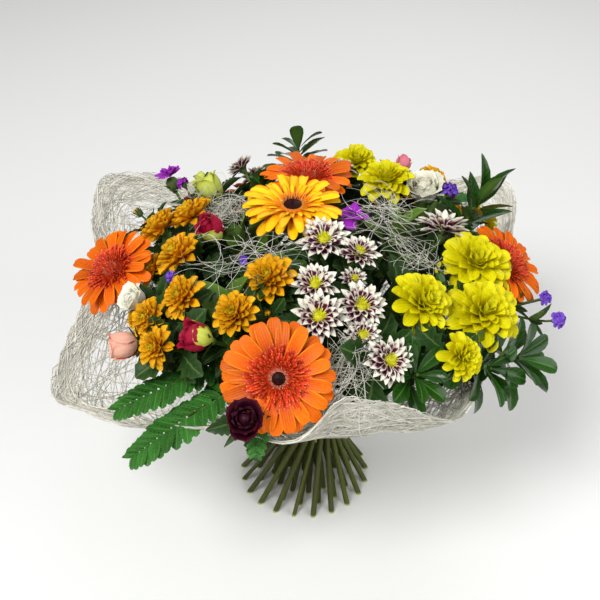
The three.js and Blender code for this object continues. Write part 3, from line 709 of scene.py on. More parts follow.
# Half widths at shares of the length.
STRAP = ((0, .34), (.1, .48), (.28, .76), (.5, .95), (.7, 1), (.84, .96), (.93, .8), (.98, .55), (1, .3))
NARROW_STRAP = ((0, .4), (.35, .8), (.7, 1), (.9, .75), (1, .3))
POINTED = ((0, .34), (.22, .68), (.45, .97), (.62, 1), (.8, .74), (.93, .36), (1, .08))
SPOON = ((0, .32), (.25, .52), (.5, .78), (.74, 1), (.88, .92), (.96, .64), (1, .26))
ROUNDED = ((0, .36), (.22, .66), (.46, .92), (.7, 1), (.86, .9), (.95, .62), (1, .28))
ROSE_PETAL = ((0, .5), (.2, .8), (.42, 1), (.64, 1), (.82, .86), (.93, .6), (1, .22))
PINNA = ((0, .3), (.1, .74), (.3, 1), (.55, .98), (.75, .86), (.9, .62), (.97, .4), (1, .2))
LANCE = ((0, .1), (.12, .5), (.35, 1), (.6, .86), (.82, .5), (.95, .2), (1, .05))
OBOVATE = ((0, .1), (.12, .22), (.34, .62), (.6, .98), (.78, 1), (.91, .72), (.98, .34), (1, .12))
OVATE = ((0, .1), (.08, .5), (.25, .95), (.45, 1), (.68, .76), (.86, .4), (.96, .14), (1, .04))
LOBED = ((0, .1), (.12, .14), (.2, .55), (.28, .34), (.42, .95), (.5, .6), (.66, 1), (.72, .66), (.86, .62),
         (.92, .34), (1, .1))
SEPAL = ((0, .8), (.3, 1), (.65, .7), (.9, .28), (1, .06))
# Radii of a rose's cup at shares of its height.
BUD_CUP = ((0, .1), (.1, .24), (.3, .37), (.55, .41), (.8, .35), (.92, .3), (1, .34))
OPEN_CUP = ((0, .1), (.1, .24), (.3, .38), (.6, .44), (.85, .45), (1, .5))

BLADES = {
    "strap": Blade(STRAP, 6, 0.33, bend=10, tip_bend=-34, cup=0.14, groove=0.05, grooves=3),
    "slim_strap": Blade(STRAP, 6, 0.26, bend=8, tip_bend=-30, cup=0.18, groove=0.05, grooves=2),
    "quill": Blade(NARROW_STRAP, 2, 0.21, bend=16, tip_bend=-30, cup=0.2),
    "pointed": Blade(POINTED, 4, 0.36, bend=20, tip_bend=-14, cup=0.34, thickness=0.02),
    "spoon": Blade(SPOON, 4, 0.42, bend=34, tip_bend=-8, cup=0.5, thickness=0.02),
    "rounded": Blade(ROUNDED, 4, 0.5, bend=24, tip_bend=-30, cup=0.3, thickness=0.02),
    "floret": Blade(ROUNDED, 4, 0.9, bend=20, tip_bend=-50, cup=-0.1, thickness=0.03),
    "bud_petal": Cup(ROSE_PETAL, 8, BUD_CUP, 0.03),
    "rose_petal": Cup(ROSE_PETAL, 8, OPEN_CUP, 0.08),
    "sepal": Blade(SEPAL, 2, 0.3, bend=14, tip_bend=-20, cup=0.25, thickness=0.02),
    "obovate": Blade(OBOVATE, 4, 0.42, bend=6, tip_bend=-30, cup=0.14, thickness=0.014),
    "ovate": Blade(OVATE, 4, 0.62, bend=6, tip_bend=-36, cup=0.14, thickness=0.012),
    "lance": Blade(LANCE, 4, 0.42, bend=8, tip_bend=-16, cup=0.24, thickness=0.014),
    "lobed": Blade(LOBED, 4, 0.66, bend=4, tip_bend=-34, cup=0.16, thickness=0.012),
    "serrated": Blade(OVATE, 4, 0.56, bend=4, tip_bend=-34, cup=0.16, thickness=0.012, teeth=8),
    "leaflet": Blade(PINNA, 4, 0.54, bend=4, tip_bend=-18, cup=0.14, thickness=0.02, teeth=6),
}


# ------------------------------------------------------------------------------------------------
# Materials
# ------------------------------------------------------------------------------------------------
WHITE = (1.0, 1.0, 1.0, 1.0)
BUMP_DEPTH = 0.4 * MM
LIGHT_DEPTH = 2 * MM  # how deep light goes into a petal
SKIN_OUTPUTS = {"Colour": "NodeSocketColor", "Height": "NodeSocketFloat", "Roughness": "NodeSocketFloat"}


def skin_group(name, paint, grain, detail, inputs):
    """A shader group whose colour, height and roughness `paint` makes from a piece's marks and a grain."""
    w, given, out = new_group(name, "ShaderNodeTree", inputs, SKIN_OUTPUTS)
    marks = [w.mark(mark) for mark in MARKS]
    for key, value in zip(SKIN_OUTPUTS, paint(w, given, *marks, w.noise(grain, detail))):
        w.feed(out.inputs[key], value)
    return w.tree


def petal_skin(w, given, along, across, upper, tone, rank, cloud):
    """Base to tip, underside, a blotch, edges, a heart for the innermost, veins and tones."""
    outwards = abs(across)
    skin = w.tint(w.rise(along + cloud * 0.3, 0.0, given["Base Reach"]), given["Base"], given["Tip"])
    skin = w.tint(w.higher(upper, w.rise(along, 0.66, 0.9)), given["Under"], skin)
    # The blotch fills the middle of the petal from its base, and leaves its sides and its tip free.
    reached = w.higher(along / given["Blotch Reach"], outwards * 1.3)
    skin = w.tint(w.rise(reached + cloud * 0.7, 0.82, 1.1), given["Blotch"], skin)
    # Edges and tips take the Edge colour: pale flecks on the crests and the crimson roses' own edge; on the golden
    # rays it is painted shade between them, on the amber petals partly painted shade.
    edge = w.higher(w.rise(outwards + cloud * 0.5, 1.0 - given["Edge Width"], 1.02),
                    w.rise(along, 1.0 - given["Tip Width"], 1.02))
    skin = w.tint(edge, skin, given["Edge"])
    reach = w.higher(given["Heart Reach"], 1e-3)
    skin = w.tint(w.rise(rank, reach * 0.7, reach), given["Heart"], skin)
    veins = abs(w.calc("COSINE", across * (given["Vein Count"] * (math.pi / 2)))) ** 6.0 * given["Veins"]
    shade = ((tone - 0.5) * given["Tone"] + 1.0) * (1.0 - veins * 0.35) + cloud * 0.16
    return w.shaded(skin, shade), cloud * 0.6 - veins, cloud * 0.2 + 0.52


def leaf_skin(w, given, along, across, upper, tone, rank, cloud):
    """Blade, midrib, slanting side veins, underside and patches of another tone."""
    outwards = abs(across)
    midrib = 1.0 - w.rise(outwards, 0.03, 0.14)
    slant = along - outwards * 0.22
    side = 1.0 - w.rise(abs(w.calc("SINE", slant * (given["Vein Count"] * 1.571))), 0.0, 0.24)
    veins = w.higher(midrib, side * 0.5)
    skin = w.tint(veins * given["Vein Strength"], given["Blade"], given["Vein"])
    skin = w.tint(upper, given["Under"], skin)
    shade = (tone - 0.5) * given["Tone"] + 1.0 + cloud * 0.4
    return w.shaded(skin, shade), cloud * 0.4 - veins, 0.8 - given["Smoothness"] * 0.6 + cloud * 0.25


def stem_skin(w, given, along, across, upper, tone, rank, cloud):
    """Ribs along the stem, blemishes, a darker foot, and a pale cut face on the ground."""
    rib = w.calc("SINE", across * (given["Ribs"] * math.pi))
    above_foot = w.rise(along, 0.0, 0.45) + (tone - 0.5) * 0.9
    skin = w.tint(w.clamped(above_foot), given["Foot"], given["Stem"])
    shade = cloud * 0.7 + (rib * 0.08 + 1.0) + (tone - 0.5) * 0.5
    skin = w.tint(w.rise(along, 0.0, 0.004), given["Cut"], w.shaded(skin, shade))
    return skin, rib * 0.4 + cloud, cloud * 0.3 + 0.55


def fibre_skin(w, given, along, across, upper, tone, rank, cloud):
    """Each dry strand its own tone, with lighter and darker stretches and a twist; on the sheet and the loose
    curls the darker share is painted shade between the strands.
    """
    ply = w.calc("SINE", along * given["Twist"] + across * (2 * math.pi))
    twisted = w.calc("MINIMUM", given["Twist"], 1.0) * (ply * -0.22)
    # The share towards Shadow, random for each strand and along it, is painted shade on the sheet and the loose
    # curls.
    dark = w.clamped(tone * 0.55 + cloud * 0.5 + twisted)
    return w.tint(dark, given["Fibre"], given["Shadow"]), ply + cloud * 0.5, cloud * 0.2 + 0.72


def skin_groups():
    """The petal, leaf, stem and fibre groups."""
    return (
        skin_group("Petal Skin", petal_skin, 420.0, 2.0, {
            "Tip": WHITE, "Base": WHITE, "Under": WHITE, "Blotch": WHITE, "Edge": WHITE, "Heart": WHITE,
            "Base Reach": 0.6, "Blotch Reach": 0.01, "Edge Width": 0.0, "Tip Width": 0.0, "Heart Reach": 0.0,
            "Veins": 0.3, "Vein Count": 5.0, "Tone": 0.25}),
        skin_group("Leaf Skin", leaf_skin, 180.0, 3.0, {
            "Blade": WHITE, "Vein": WHITE, "Under": WHITE, "Vein Count": 14.0, "Vein Strength": 0.5,
            "Smoothness": 0.6, "Tone": 0.5}),
        skin_group("Stem Skin", stem_skin, 150.0, 3.0, {"Stem": WHITE, "Foot": WHITE, "Cut": WHITE, "Ribs": 5.0}),
        skin_group("Fibre Skin", fibre_skin, 90.0, 2.0, {"Fibre": WHITE, "Shadow": WHITE, "Twist": 0.0}),
    )


def skinned(name, group, inputs, bump=0.25, shine=0.4, coat=0.0, under_skin=0.0):
    """A material whose colour, roughness and bump come from one of the groups."""
    material = bpy.data.materials.new(name)
    material.use_nodes = True
    w = Wiring(material.node_tree)
    shader = material.node_tree.nodes["Principled BSDF"]
    node = w.node("ShaderNodeGroup", node_tree=group)
    for key, value in inputs.items():
        node.inputs[key].default_value = value if isinstance(value, float) else (*value, 1.0)
    skin = {key: Reading(w, node.outputs[key]) for key in SKIN_OUTPUTS}
    w.feed(shader.inputs["Base Color"], skin["Colour"])
    w.feed(shader.inputs["Roughness"], skin["Roughness"])
    w.feed(shader.inputs["Normal"], w.add(
        "ShaderNodeBump", {"Height": skin["Height"], "Strength": bump, "Distance": BUMP_DEPTH}))
    for socket, value in (("Specular IOR Level", shine), ("Coat Weight", coat), ("Subsurface Weight", under_skin),
                          ("Subsurface Scale", LIGHT_DEPTH)):
        shader.inputs[socket].default_value = value
    return material


def mixed(one, other, share):
    return tuple(a + (b - a) * share for a, b in zip(one, other))


CREAM_FLECK = linear("f6dcae")
GREENISH = linear("b8bd5c")


def petal_inputs(c):
    """What each petal material gives its skin: colours first, then how far each reaches."""
    looks = {
        "orange": dict(Tip=c.orange, Base=c.orange_deep, Under=mixed(c.orange, c.gold, 0.4), Veins=0.7,
                       Base_Reach=0.95, Vein_Count=6.0, Tone=0.5),
        # The golden rays' deep edges are painted shade between the rays; their deep base is their own colour.
        "gold": dict(Tip=c.gold, Base=c.gold_deep, Under=mixed(c.gold, c.gold_deep, 0.3), Edge=c.gold_deep,
                     Edge_Width=0.35, Base_Reach=0.7, Veins=0.4, Vein_Count=6.0),
        "crest": dict(Tip=mixed(c.crest, c.orange, 0.16), Base=mixed(c.crest, c.eye, 0.3), Under=c.crest,
                      Edge=mixed(CREAM_FLECK, c.crest, 0.65), Tip_Width=0.14, Base_Reach=0.7, Tone=0.9),
        "gold_crest": dict(Tip=mixed(c.gold_deep, c.gold, 0.1), Base=mixed(c.gold_deep, c.crest, 0.5),
                           Under=c.gold_deep, Edge=mixed(CREAM_FLECK, c.gold_deep, 0.7), Tip_Width=0.2,
                           Base_Reach=0.6, Tone=0.5),
        "filament": dict(Tip=mixed(CREAM_FLECK, c.crest, 0.3), Base=mixed(CREAM_FLECK, c.crest, 0.6),
                         Under=mixed(CREAM_FLECK, c.crest, 0.4)),
        "eye": dict(Tip=mixed(c.eye, c.crest, 0.04), Base=c.eye, Under=c.eye, Tone=0.8),
        "white": dict(Tip=c.white, Base=c.white, Under=mixed(c.white, c.wine, 0.85), Blotch=c.wine,
                      Edge=c.white, Edge_Width=0.3, Blotch_Reach=0.68, Tone=0.1, Veins=0.15),
        # The amber petals' deep edges are partly their own colour and partly painted shade between the petals.
        "amber": dict(Tip=c.amber, Base=mixed(c.amber, c.amber_deep, 0.5), Under=mixed(c.amber_deep, c.amber, 0.3),
                      Edge=c.amber_deep, Edge_Width=0.16, Heart=mixed(c.heart, c.amber, 0.5), Heart_Reach=0.25,
                      Tone=0.3, Base_Reach=0.7),
        "yellow": dict(Tip=c.yellow, Base=c.yellow_deep, Under=mixed(c.yellow, c.yellow_deep, 0.6),
                       Heart=mixed(c.heart, c.yellow, 0.5), Heart_Reach=0.2, Tone=0.16, Veins=0.35),
        "heart": dict(Tip=c.heart, Base=mixed(c.heart, c.fern, 0.5), Under=c.heart, Tone=0.5),
        "crimson": dict(Tip=mixed(c.cream, c.pink, 0.35), Base=GREENISH, Under=mixed(c.cream, GREENISH, 0.4),
                        Edge=mixed(c.crimson, c.pink, 0.5), Edge_Width=0.3, Heart=c.crimson, Heart_Reach=1.5,
                        Base_Reach=0.7, Veins=0.3),
    }
    for name in ("peach", "cream", "burgundy", "pink", "green", "purple", "violet"):
        base = getattr(c, name)
        looks[name] = dict(Tip=base, Base=mixed(base, GREENISH, 0.3), Under=mixed(base, WHITE[:3], 0.04),
                           Base_Reach=0.35, Veins=0.2)
    return looks


def make_materials(colours):
    """Every material of the bouquet, by name."""
    petal, leaf, stem, fibre = skin_groups()
    made = {}
    for name, look in petal_inputs(colours).items():
        for other in ("Blotch", "Edge", "Heart"):
            look.setdefault(other, look["Tip"])
        inputs = {key.replace("_", " "): value for key, value in look.items()}
        made[name] = skinned(f"petal_{name}", petal, inputs, shine=0.2, under_skin=0.1)
    pale = linear("a9bd6a")
    for name, gloss in (("glossy_leaf", 1.0), ("broad_leaf", 0.75), ("spray_leaf", 0.35), ("fern", 0.3)):
        blade = getattr(colours, name)
        inputs = {"Blade": blade, "Vein": mixed(blade, pale, 0.34), "Under": mixed(blade, pale, 0.14),
                  "Smoothness": gloss, "Vein Count": 9.0 if name == "fern" else 14.0}
        made[name] = skinned(name, leaf, inputs, bump=0.35, shine=0.25, coat=0.12 * gloss)
    made["stem"] = skinned("stem", stem, {
        "Stem": colours.stem, "Foot": linear("4c5212"), "Cut": linear("cfd3a0")}, bump=0.3)
    # Painted shade: the Shadow colour stands for the shade between the sheet's strands, and the loose curls are
    # painted a tenth of the way towards it all over.
    shadow = linear("5f6250")
    for name, share in (("fibre", 0.0), ("loose_fibre", 0.1)):
        made[name] = skinned(name, fibre, {
            "Fibre": mixed(colours.fibre, shadow, share), "Shadow": mixed(colours.fibre, shadow, 0.9)},
            bump=0.1)
    made["string"] = skinned("string", fibre, {
        "Fibre": colours.string, "Shadow": mixed(colours.string, (0.05, 0.03, 0.01), 0.6), "Twist": 900.0},
        bump=0.6)
    return made


# ------------------------------------------------------------------------------------------------
# Places and paths
# ------------------------------------------------------------------------------------------------
def direction(tilt, azimuth):
    off, around = math.radians(tilt), math.radians(azimuth)
    return np.array([math.sin(off) * math.cos(around), math.sin(off) * math.sin(around), math.cos(off)])


def tilt_at(reach):
    return TILT_AT_REACH * reach / DOME_REACH


def dome_height(x, y):
    return DOME_TOP - DOME_DROP * (x * x + y * y) / DOME_REACH ** 2 + DOME_RISE * y


def on_dome(azimuth, reach, lift):
    """A place in metres, from degrees and millimetres."""
    x, y = reach * math.cos(math.radians(azimuth)), reach * math.sin(math.radians(azimuth))
    return np.array([x, y, dome_height(x, y) + lift]) * MM


def unit(vector):
    return vector / np.linalg.norm(vector)


def bent(start, leaving, end, arriving, handle, count):
    """Points on a smooth bend from start, left along `leaving`, to end, where it runs along `arriving`."""
    span = np.linalg.norm(end - start)
    first, last = start + leaving * span * handle[0], end - arriving * span * handle[1]
    t = np.linspace(0, 1, count)[:, None]
    return ((1 - t) ** 3 * start + 3 * (1 - t) ** 2 * t * first + 3 * (1 - t) * t ** 2 * last + t ** 3 * end)


STRAIGHT_POINTS, BEND_POINTS, BRANCH_POINTS = 5, 20, 10
FOOT_SHARE = 1.22  # a stem is this much thicker at its cut end


def stem_path(ring, slot, end, arriving):
    radius, foot = ring * RING_PITCH, FOOT_REACH * ring / OUTER_RING
    slope = math.sqrt(foot ** 2 - radius ** 2) / BINDING_HEIGHT
    cosine, sine = math.cos(math.radians(slot)), math.sin(math.radians(slot))
    heights = np.linspace(0, BINDING_HEIGHT + STRAIGHT_ABOVE_BINDING, STRAIGHT_POINTS)
    off = slope * (heights - BINDING_HEIGHT)
    line = np.stack([radius * cosine - off * sine, radius * sine + off * cosine, heights], axis=-1) * MM
    bend = bent(line[-1], unit(line[-1] - line[0]), end, arriving, STEM_HANDLE, BEND_POINTS)
    return np.concatenate([line, bend[1:]])


def before_end(path, distance):
    """The point that is a distance before a path's end, and the path's direction there."""
    steps = np.linalg.norm(np.diff(path, axis=0), axis=1)
    left = np.concatenate([np.cumsum(steps[::-1])[::-1], [0]])
    i = int(np.clip(np.searchsorted(-left, -distance) - 1, 0, len(steps) - 1))
    share = (left[i] - distance) / max(left[i] - left[i + 1], 1e-9)
    return path[i] + (path[i + 1] - path[i]) * share, unit(path[i + 1] - path[i])


def branch_path(main, end, arriving):
    start, leaving = before_end(main, BRANCH_LENGTH * MM)
    return bent(start, leaving, end, arriving, BRANCH_HANDLE, BRANCH_POINTS)


def slots():
    """Each stem's place in its ring at the binding, in the order of the flowers above it."""
    places = {}
    stems = [*GERBERAS, *CHRYSANTHEMUMS, *ROSES, *FILLERS, *BRANCHES, *FERNS]
    for ring in range(OUTER_RING + 1):
        held = [(s.heads[0] if isinstance(s, Flower) else s.tip)[0] for s in stems if s.ring == ring]
        names = [s.name for s in stems if s.ring == ring]
        ordered = sorted(zip(held, names))
        step = 360 / len(ordered)
        offset = sum(azimuth - i * step for i, (azimuth, _) in enumerate(ordered)) / len(ordered)
        for i, (_, name) in enumerate(ordered):
            places[name] = offset + i * step - SPIRAL_TURN
    return places


def frame_at(place, axis, size=1.0, spin=0.0):
    """A matrix that puts local Z along an axis at a place."""
    turn = Vector((0, 0, 1)).rotation_difference(Vector(axis)).to_matrix().to_4x4()
    return (Matrix.Translation(Vector(place)) @ turn @ Matrix.Rotation(math.radians(spin), 4, "Z")
            @ Matrix.Diagonal((size, size, size, 1)))


# ------------------------------------------------------------------------------------------------
# The grower: node trees, petals and materials that every operator shares
# ------------------------------------------------------------------------------------------------
# A layer of petals, in shares of the head's width or, for leaves, of the leaf's length.
Layer = namedtuple("Layer", "petal material count turn reach height tilt size ease loose ruffle",
                   defaults=(1.0, (4, 5, 0.06), 0.0))


class Grower:
    """The trees, petals and materials of one run, and what grows flowers from them."""

    def __init__(self, colours, sizes):
        self.sizes = sizes
        self.materials = make_materials(colours)
        self.rosette, self.frond, self.strands = rosette_tree(), frond_tree(), strand_tree()
        self.blades = {name: blades(name, form) for name, form in BLADES.items()}
        self.slots = slots()

    def layer(self, layer, matrix, seed):
        """A layer's petals, placed by a matrix."""
        numbers = {"Turn": layer.turn, "Ease": layer.ease, "Ruffle": layer.ruffle}
        for what in ("Reach", "Height", "Tilt", "Size"):
            numbers[f"Inner_{what}"], numbers[f"Outer_{what}"] = getattr(layer, what.lower())
        numbers.update(zip(("Loose_Tilt", "Loose_Turn", "Loose_Size"), layer.loose))
        shape = grown(
            self.rosette, self.blades[layer.petal], Count=layer.count, Kinds=KINDS - 1, Seed=seed,
            Material=self.materials[layer.material], **{name: float(value) for name, value in numbers.items()})
        return shape.placed(matrix)

    def strand_shapes(self, lines, widths, material, sides=8, level_cut=False, tones=None):
        """Round strands along the lines. A width is a number or one for each point."""
        points = np.concatenate(lines)
        edges, first = [], 0
        for line in lines:
            edges += [(first + i, first + i + 1) for i in range(len(line) - 1)]
            first += len(line)
        source = bpy.data.meshes.new("lines")
        source.from_pydata(points.tolist(), edges, [])
        tones = np.full(len(lines), 0.5) if tones is None else tones
        values = {
            "width": np.concatenate([np.broadcast_to(width, len(line)) for width, line in zip(widths, lines)]),
            "along": np.concatenate([np.linspace(0, 1, len(line)) for line in lines]),
            "tone": np.concatenate([np.full(len(line), tone) for tone, line in zip(tones, lines)]),
        }
        for name, numbers in values.items():
            source.attributes.new(name, "FLOAT", "POINT").data.foreach_set("value", numbers.astype(np.float32))
        shape = grown(self.strands, source, Sides=sides, Level_Cut=level_cut, Material=self.materials[material])
        bpy.data.meshes.remove(source)
        return shape

    def stalk(self, path, width, end_width, tone, level_cut):
        widths = np.linspace(width, end_width, len(path))
        return self.strand_shapes([path], [widths], "stem", level_cut=level_cut, tones=[tone])

    def leaves_down(self, path, distances, layer, length, seed):
        """Sets of leaves at distances before a path's end, in millimetres, cut to the room in the sheet."""
        shapes = []
        for i, distance in enumerate(distances):
            place, along = before_end(path, distance * MM)
            spin = (seed * 61 + i * 77) % 360
            x, y, z = np.array(place) / MM
            rise = np.clip((z - BINDING_HEIGHT) / (SHEET_MID_RIM - BINDING_HEIGHT), 0, 1)
            room = NECK_RADIUS + (SHEET_MID_REACH - NECK_RADIUS) * rise - np.hypot(x, y) if rise < 1 else length
            fitted = float(np.clip(room, LEAST_LEAF, length))
            shapes.append(self.layer(layer, frame_at(place, along, fitted * MM, spin), seed + i))
        return shapes


@lru_cache
def grower():
    """The one grower that every operator of a run shares."""
    return Grower(bpy.context.scene.bouquet_colours, bpy.context.scene.bouquet_sizes)


SEATED = 0.8  # how far into a head's base its stem reaches
HEAD_DEPTH = 0.41  # the depth of a base of 1, in widths of the head
STEM_TIP_SHARE, BRANCH_TIP_SHARE = 0.7, 0.8  # how thick a stem and a side branch still are at the head


def seat(base):
    """How far below a head's middle its stem ends, in millimetres, from the head's width."""
    return lambda width: SEATED * base * width * HEAD_DEPTH


def grow_flowers(flowers, draw_head, depth, leaves=None, stem_share=1.0):
    for flower in flowers:
        grow_flower(flower, draw_head, depth, stem_share * grower().sizes.stem_width, leaves)
    return {"FINISHED"}


def grow_flower(flower, draw_head, depth, stem_width, leaves):
    """One flower stem: its heads and its green parts, as two pieces."""
    g = grower()
    petals, greens, main = [], [], None
    for i, (azimuth, reach, lift, width) in enumerate(flower.heads):
        outwards = direction(tilt_at(reach), azimuth)
        axis = direction(*flower.face) if i == 0 and flower.face else outwards
        centre = on_dome(azimuth, reach, lift)
        end = centre - axis * depth(width) * MM
        arrival = unit(outwards + axis)
        seed = int(azimuth * 7 + reach * 3 + lift)
        tone = (seed % 10) / 10
        if main is None:
            path = main = stem_path(flower.ring, g.slots[flower.name], end, arrival)
            greens.append(g.stalk(path, FOOT_SHARE * stem_width, STEM_TIP_SHARE * stem_width, tone, True))
        else:
            path, thick = branch_path(main, end, arrival), g.sizes.branch_width
            greens.append(g.stalk(path, thick, BRANCH_TIP_SHARE * thick, tone, False))
        if leaves:
            greens += leaves(g, path, seed, i == 0)
        head, green = draw_head(g, flower, centre, axis, width, seed)
        petals += head
        greens += green
    piece(f"{flower.name}_head", petals, f"petal_{flower.colour}", flower.name)
    piece(f"{flower.name}_stem", greens, f"petal_{flower.colour}", flower.name)


# ------------------------------------------------------------------------------------------------
# Gerberas
# ------------------------------------------------------------------------------------------------
GERBERA_BASE = 12  # millimetres from a head's middle down to the end of its base

# Material, reach, height, tilt, size and count of the rings of florets inside the rays, from the outside in.
ORANGE_CREST = (
    ("crest", (0.15, 0.21), (0.018, 0.004), (44, 14), (0.09, 0.11), 190),
    ("crest", (0.11, 0.155), (0.028, 0.018), (62, 42), (0.07, 0.09), 110),
    ("crest", (0.075, 0.115), (0.03, 0.028), (74, 56), (0.045, 0.065), 90),
    ("filament", (0.064, 0.078), (0.03, 0.03), (80, 60), (0.024, 0.034), 26),
    ("eye", (0.0, 0.062), (0.042, 0.034), (88, 70), (0.022, 0.03), 80),
)
RED_EYED = ("gerbera_orange_top", "gerbera_orange_left", "gerbera_orange_right")
GOLD_CREST = (
    ("gold_crest", (0.13, 0.18), (0.016, 0.004), (34, 12), (0.06, 0.08), 80),
    ("gold_crest", (0.105, 0.14), (0.024, 0.016), (56, 34), (0.04, 0.055), 70),
    ("filament", (0.094, 0.104), (0.026, 0.024), (66, 50), (0.018, 0.026), 44),
    ("eye", (0.0, 0.092), (0.04, 0.03), (88, 66), (0.02, 0.03), 130),
)


def gerbera_head(g, flower, centre, axis, width, seed):
    gold = flower.colour == "gold"
    at = frame_at(centre, axis, width * MM, seed % 360)
    rays = g.sizes.gerbera_rays + (12 if gold else 2)
    layers = [Layer("slim_strap" if gold else "strap", flower.colour, rays, 720 / rays, (0.1, 0.12),
                    (0.01, -0.02), (14, -2), (0.37, 0.39), 1.0, (5, 4, 0.06), 0.01)]
    if gold:
        layers.append(Layer("slim_strap", flower.colour, 27, 720 / 27, (0.12, 0.13), (0.012, 0.006), (30, 20),
                            (0.16, 0.2), 1.0, (7, 5, 0.12), 0.01))
    red_eyed = flower.name in RED_EYED
    for material, reach, height, tilt, size, count in GOLD_CREST if gold else ORANGE_CREST:
        if red_eyed and material == "eye":
            material, size = "crest", (0.03, 0.045)
        layers.append(Layer("quill", material, count, GOLDEN_ANGLE, reach, height, tilt, size, 1.0, (9, 6, 0.16)))
    disc = lathed([(0, -0.03), (0.08, -0.03), (0.13, 0.0), (0.12, 0.018), (0.07, 0.03), (0, 0.032)], 20,
                  g.materials["gold_crest" if gold else "crest"], tone=0.2)
    eye = lathed([(0, 0.02), (0.092 if gold else 0.062, 0.026), (0.05, 0.046), (0, 0.05)], 16,
                 g.materials["crest" if red_eyed else "eye"], tone=0.3)
    petals = [g.layer(layer, at, seed + n) for n, layer in enumerate(layers)] + [disc.placed(at), eye.placed(at)]
    bracts = Layer("sepal", "spray_leaf", 30, GOLDEN_ANGLE, (0.05, 0.1), (-0.1, -0.045), (48, 12), (0.09, 0.1))
    cup = lathed([(0, -0.13), (0.026, -0.13), (0.05, -0.1), (0.1, -0.05), (0.11, -0.03), (0, -0.025)], 16,
                 g.materials["spray_leaf"])
    return petals, [g.layer(bracts, at, seed), cup.placed(at)]


class BOUQUET_OT_gerberas(bpy.types.Operator):
    """Grow the orange and golden gerberas on their bare stems"""
    bl_idname = "bouquet.gerberas"
    bl_label = "Gerberas"

    def execute(self, context):
        return grow_flowers(GERBERAS, gerbera_head, lambda width: SEATED * GERBERA_BASE)


# ------------------------------------------------------------------------------------------------
# Spray chrysanthemums
# ------------------------------------------------------------------------------------------------
SPRAY_BASE = 0.62
BUD_WIDTH = 14  # a spray flower up to this wide is still a bud

SPRAY_LAYERS = {
    "white": Layer("pointed", "white", 36, GOLDEN_ANGLE, (0.09, 0.1), (0.02, -0.08), (50, -6), (0.3, 0.45), 0.9,
                   (8, 5, 0.08), 0.014),
    "amber": Layer("spoon", "amber", 60, GOLDEN_ANGLE, (0.03, 0.1), (0.04, -0.1), (76, -14), (0.23, 0.5), 0.8,
                   (9, 6, 0.08), 0.014),
    "yellow": Layer("rounded", "yellow", 60, GOLDEN_ANGLE, (0.02, 0.1), (0.06, -0.1), (76, -14), (0.25, 0.5), 0.8,
                    (9, 6, 0.1), 0.016),
}
SPRAY_HEARTS = {"white": 0.115, "amber": 0.07, "yellow": 0.05}
SPRAY_LEAVES = Layer("lobed", "spray_leaf", 4, 97, (0.04, 0.06), (0, 0), (36, 10), (0.8, 1.05), 1.0,
                     (12, 14, 0.18), 0.02)


def spray_head(g, flower, centre, axis, width, seed):
    at = frame_at(centre, axis, width * MM, seed % 360)
    calyx = lathed([(0, -0.34), (0.045, -0.32), (0.08, -0.24), (0.13, -0.14), (0.1, -0.06), (0, -0.04)], 12,
                   g.materials["spray_leaf"]).placed(at)
    bracts = Layer("sepal", "spray_leaf", 14, GOLDEN_ANGLE, (0.09, 0.11), (-0.2, -0.12), (42, 24), (0.16, 0.2))
    greens = [calyx, g.layer(bracts, at, seed)]
    if width <= BUD_WIDTH:
        closed = SPRAY_LAYERS[flower.colour]._replace(
            count=22, reach=(0.02, 0.2), height=(-0.2, -0.3), tilt=(86, 66), size=(0.6, 0.6))
        cup = Layer("sepal", "spray_leaf", 16, GOLDEN_ANGLE, (0.22, 0.34), (-0.42, -0.34), (84, 74), (0.8, 0.74))
        return [g.layer(closed, at, seed)], [g.layer(cup, at, seed), *greens]
    layer = SPRAY_LAYERS[flower.colour]
    reach = SPRAY_HEARTS[flower.colour]
    heart = Layer("quill", "heart", round(800 * reach), GOLDEN_ANGLE, (0.0, reach), (0.06, 0.03), (88, 50),
                  (0.06, 0.09), 0.6, (12, 8, 0.2))
    dome = lathed([(0, -0.05), (reach, -0.04), (reach, 0.02), (0.7 * reach, 0.06), (0, 0.08)], 14,
                  g.materials["heart"])
    return [g.layer(layer, at, seed), g.layer(heart, at, seed + 3), dome.placed(at)], greens


def spray_leaves(g, path, seed, on_main):
    distances = (23, 38, 54, 72, 92) if on_main else (20, 34, 48)
    return g.leaves_down(path, distances, SPRAY_LEAVES, 44 if on_main else 34, seed)


class BOUQUET_OT_chrysanthemums(bpy.types.Operator):
    """Grow the white, amber and yellow spray chrysanthemums with their buds and lobed leaves"""
    bl_idname = "bouquet.chrysanthemums"
    bl_label = "Spray chrysanthemums"

    def execute(self, context):
        return grow_flowers(CHRYSANTHEMUMS, spray_head, seat(SPRAY_BASE), spray_leaves)


# ------------------------------------------------------------------------------------------------
# Roses
# ------------------------------------------------------------------------------------------------
ROSE_LEAVES = Layer("serrated", "spray_leaf", 5, 72, (0.06, 0.1), (0, 0.1), (40, 16), (0.8, 1.0), 1.0,
                    (9, 10, 0.12), 0.02)
OPEN_ROSES = ("burgundy", "cream")
ROSE_BASE = 1.15


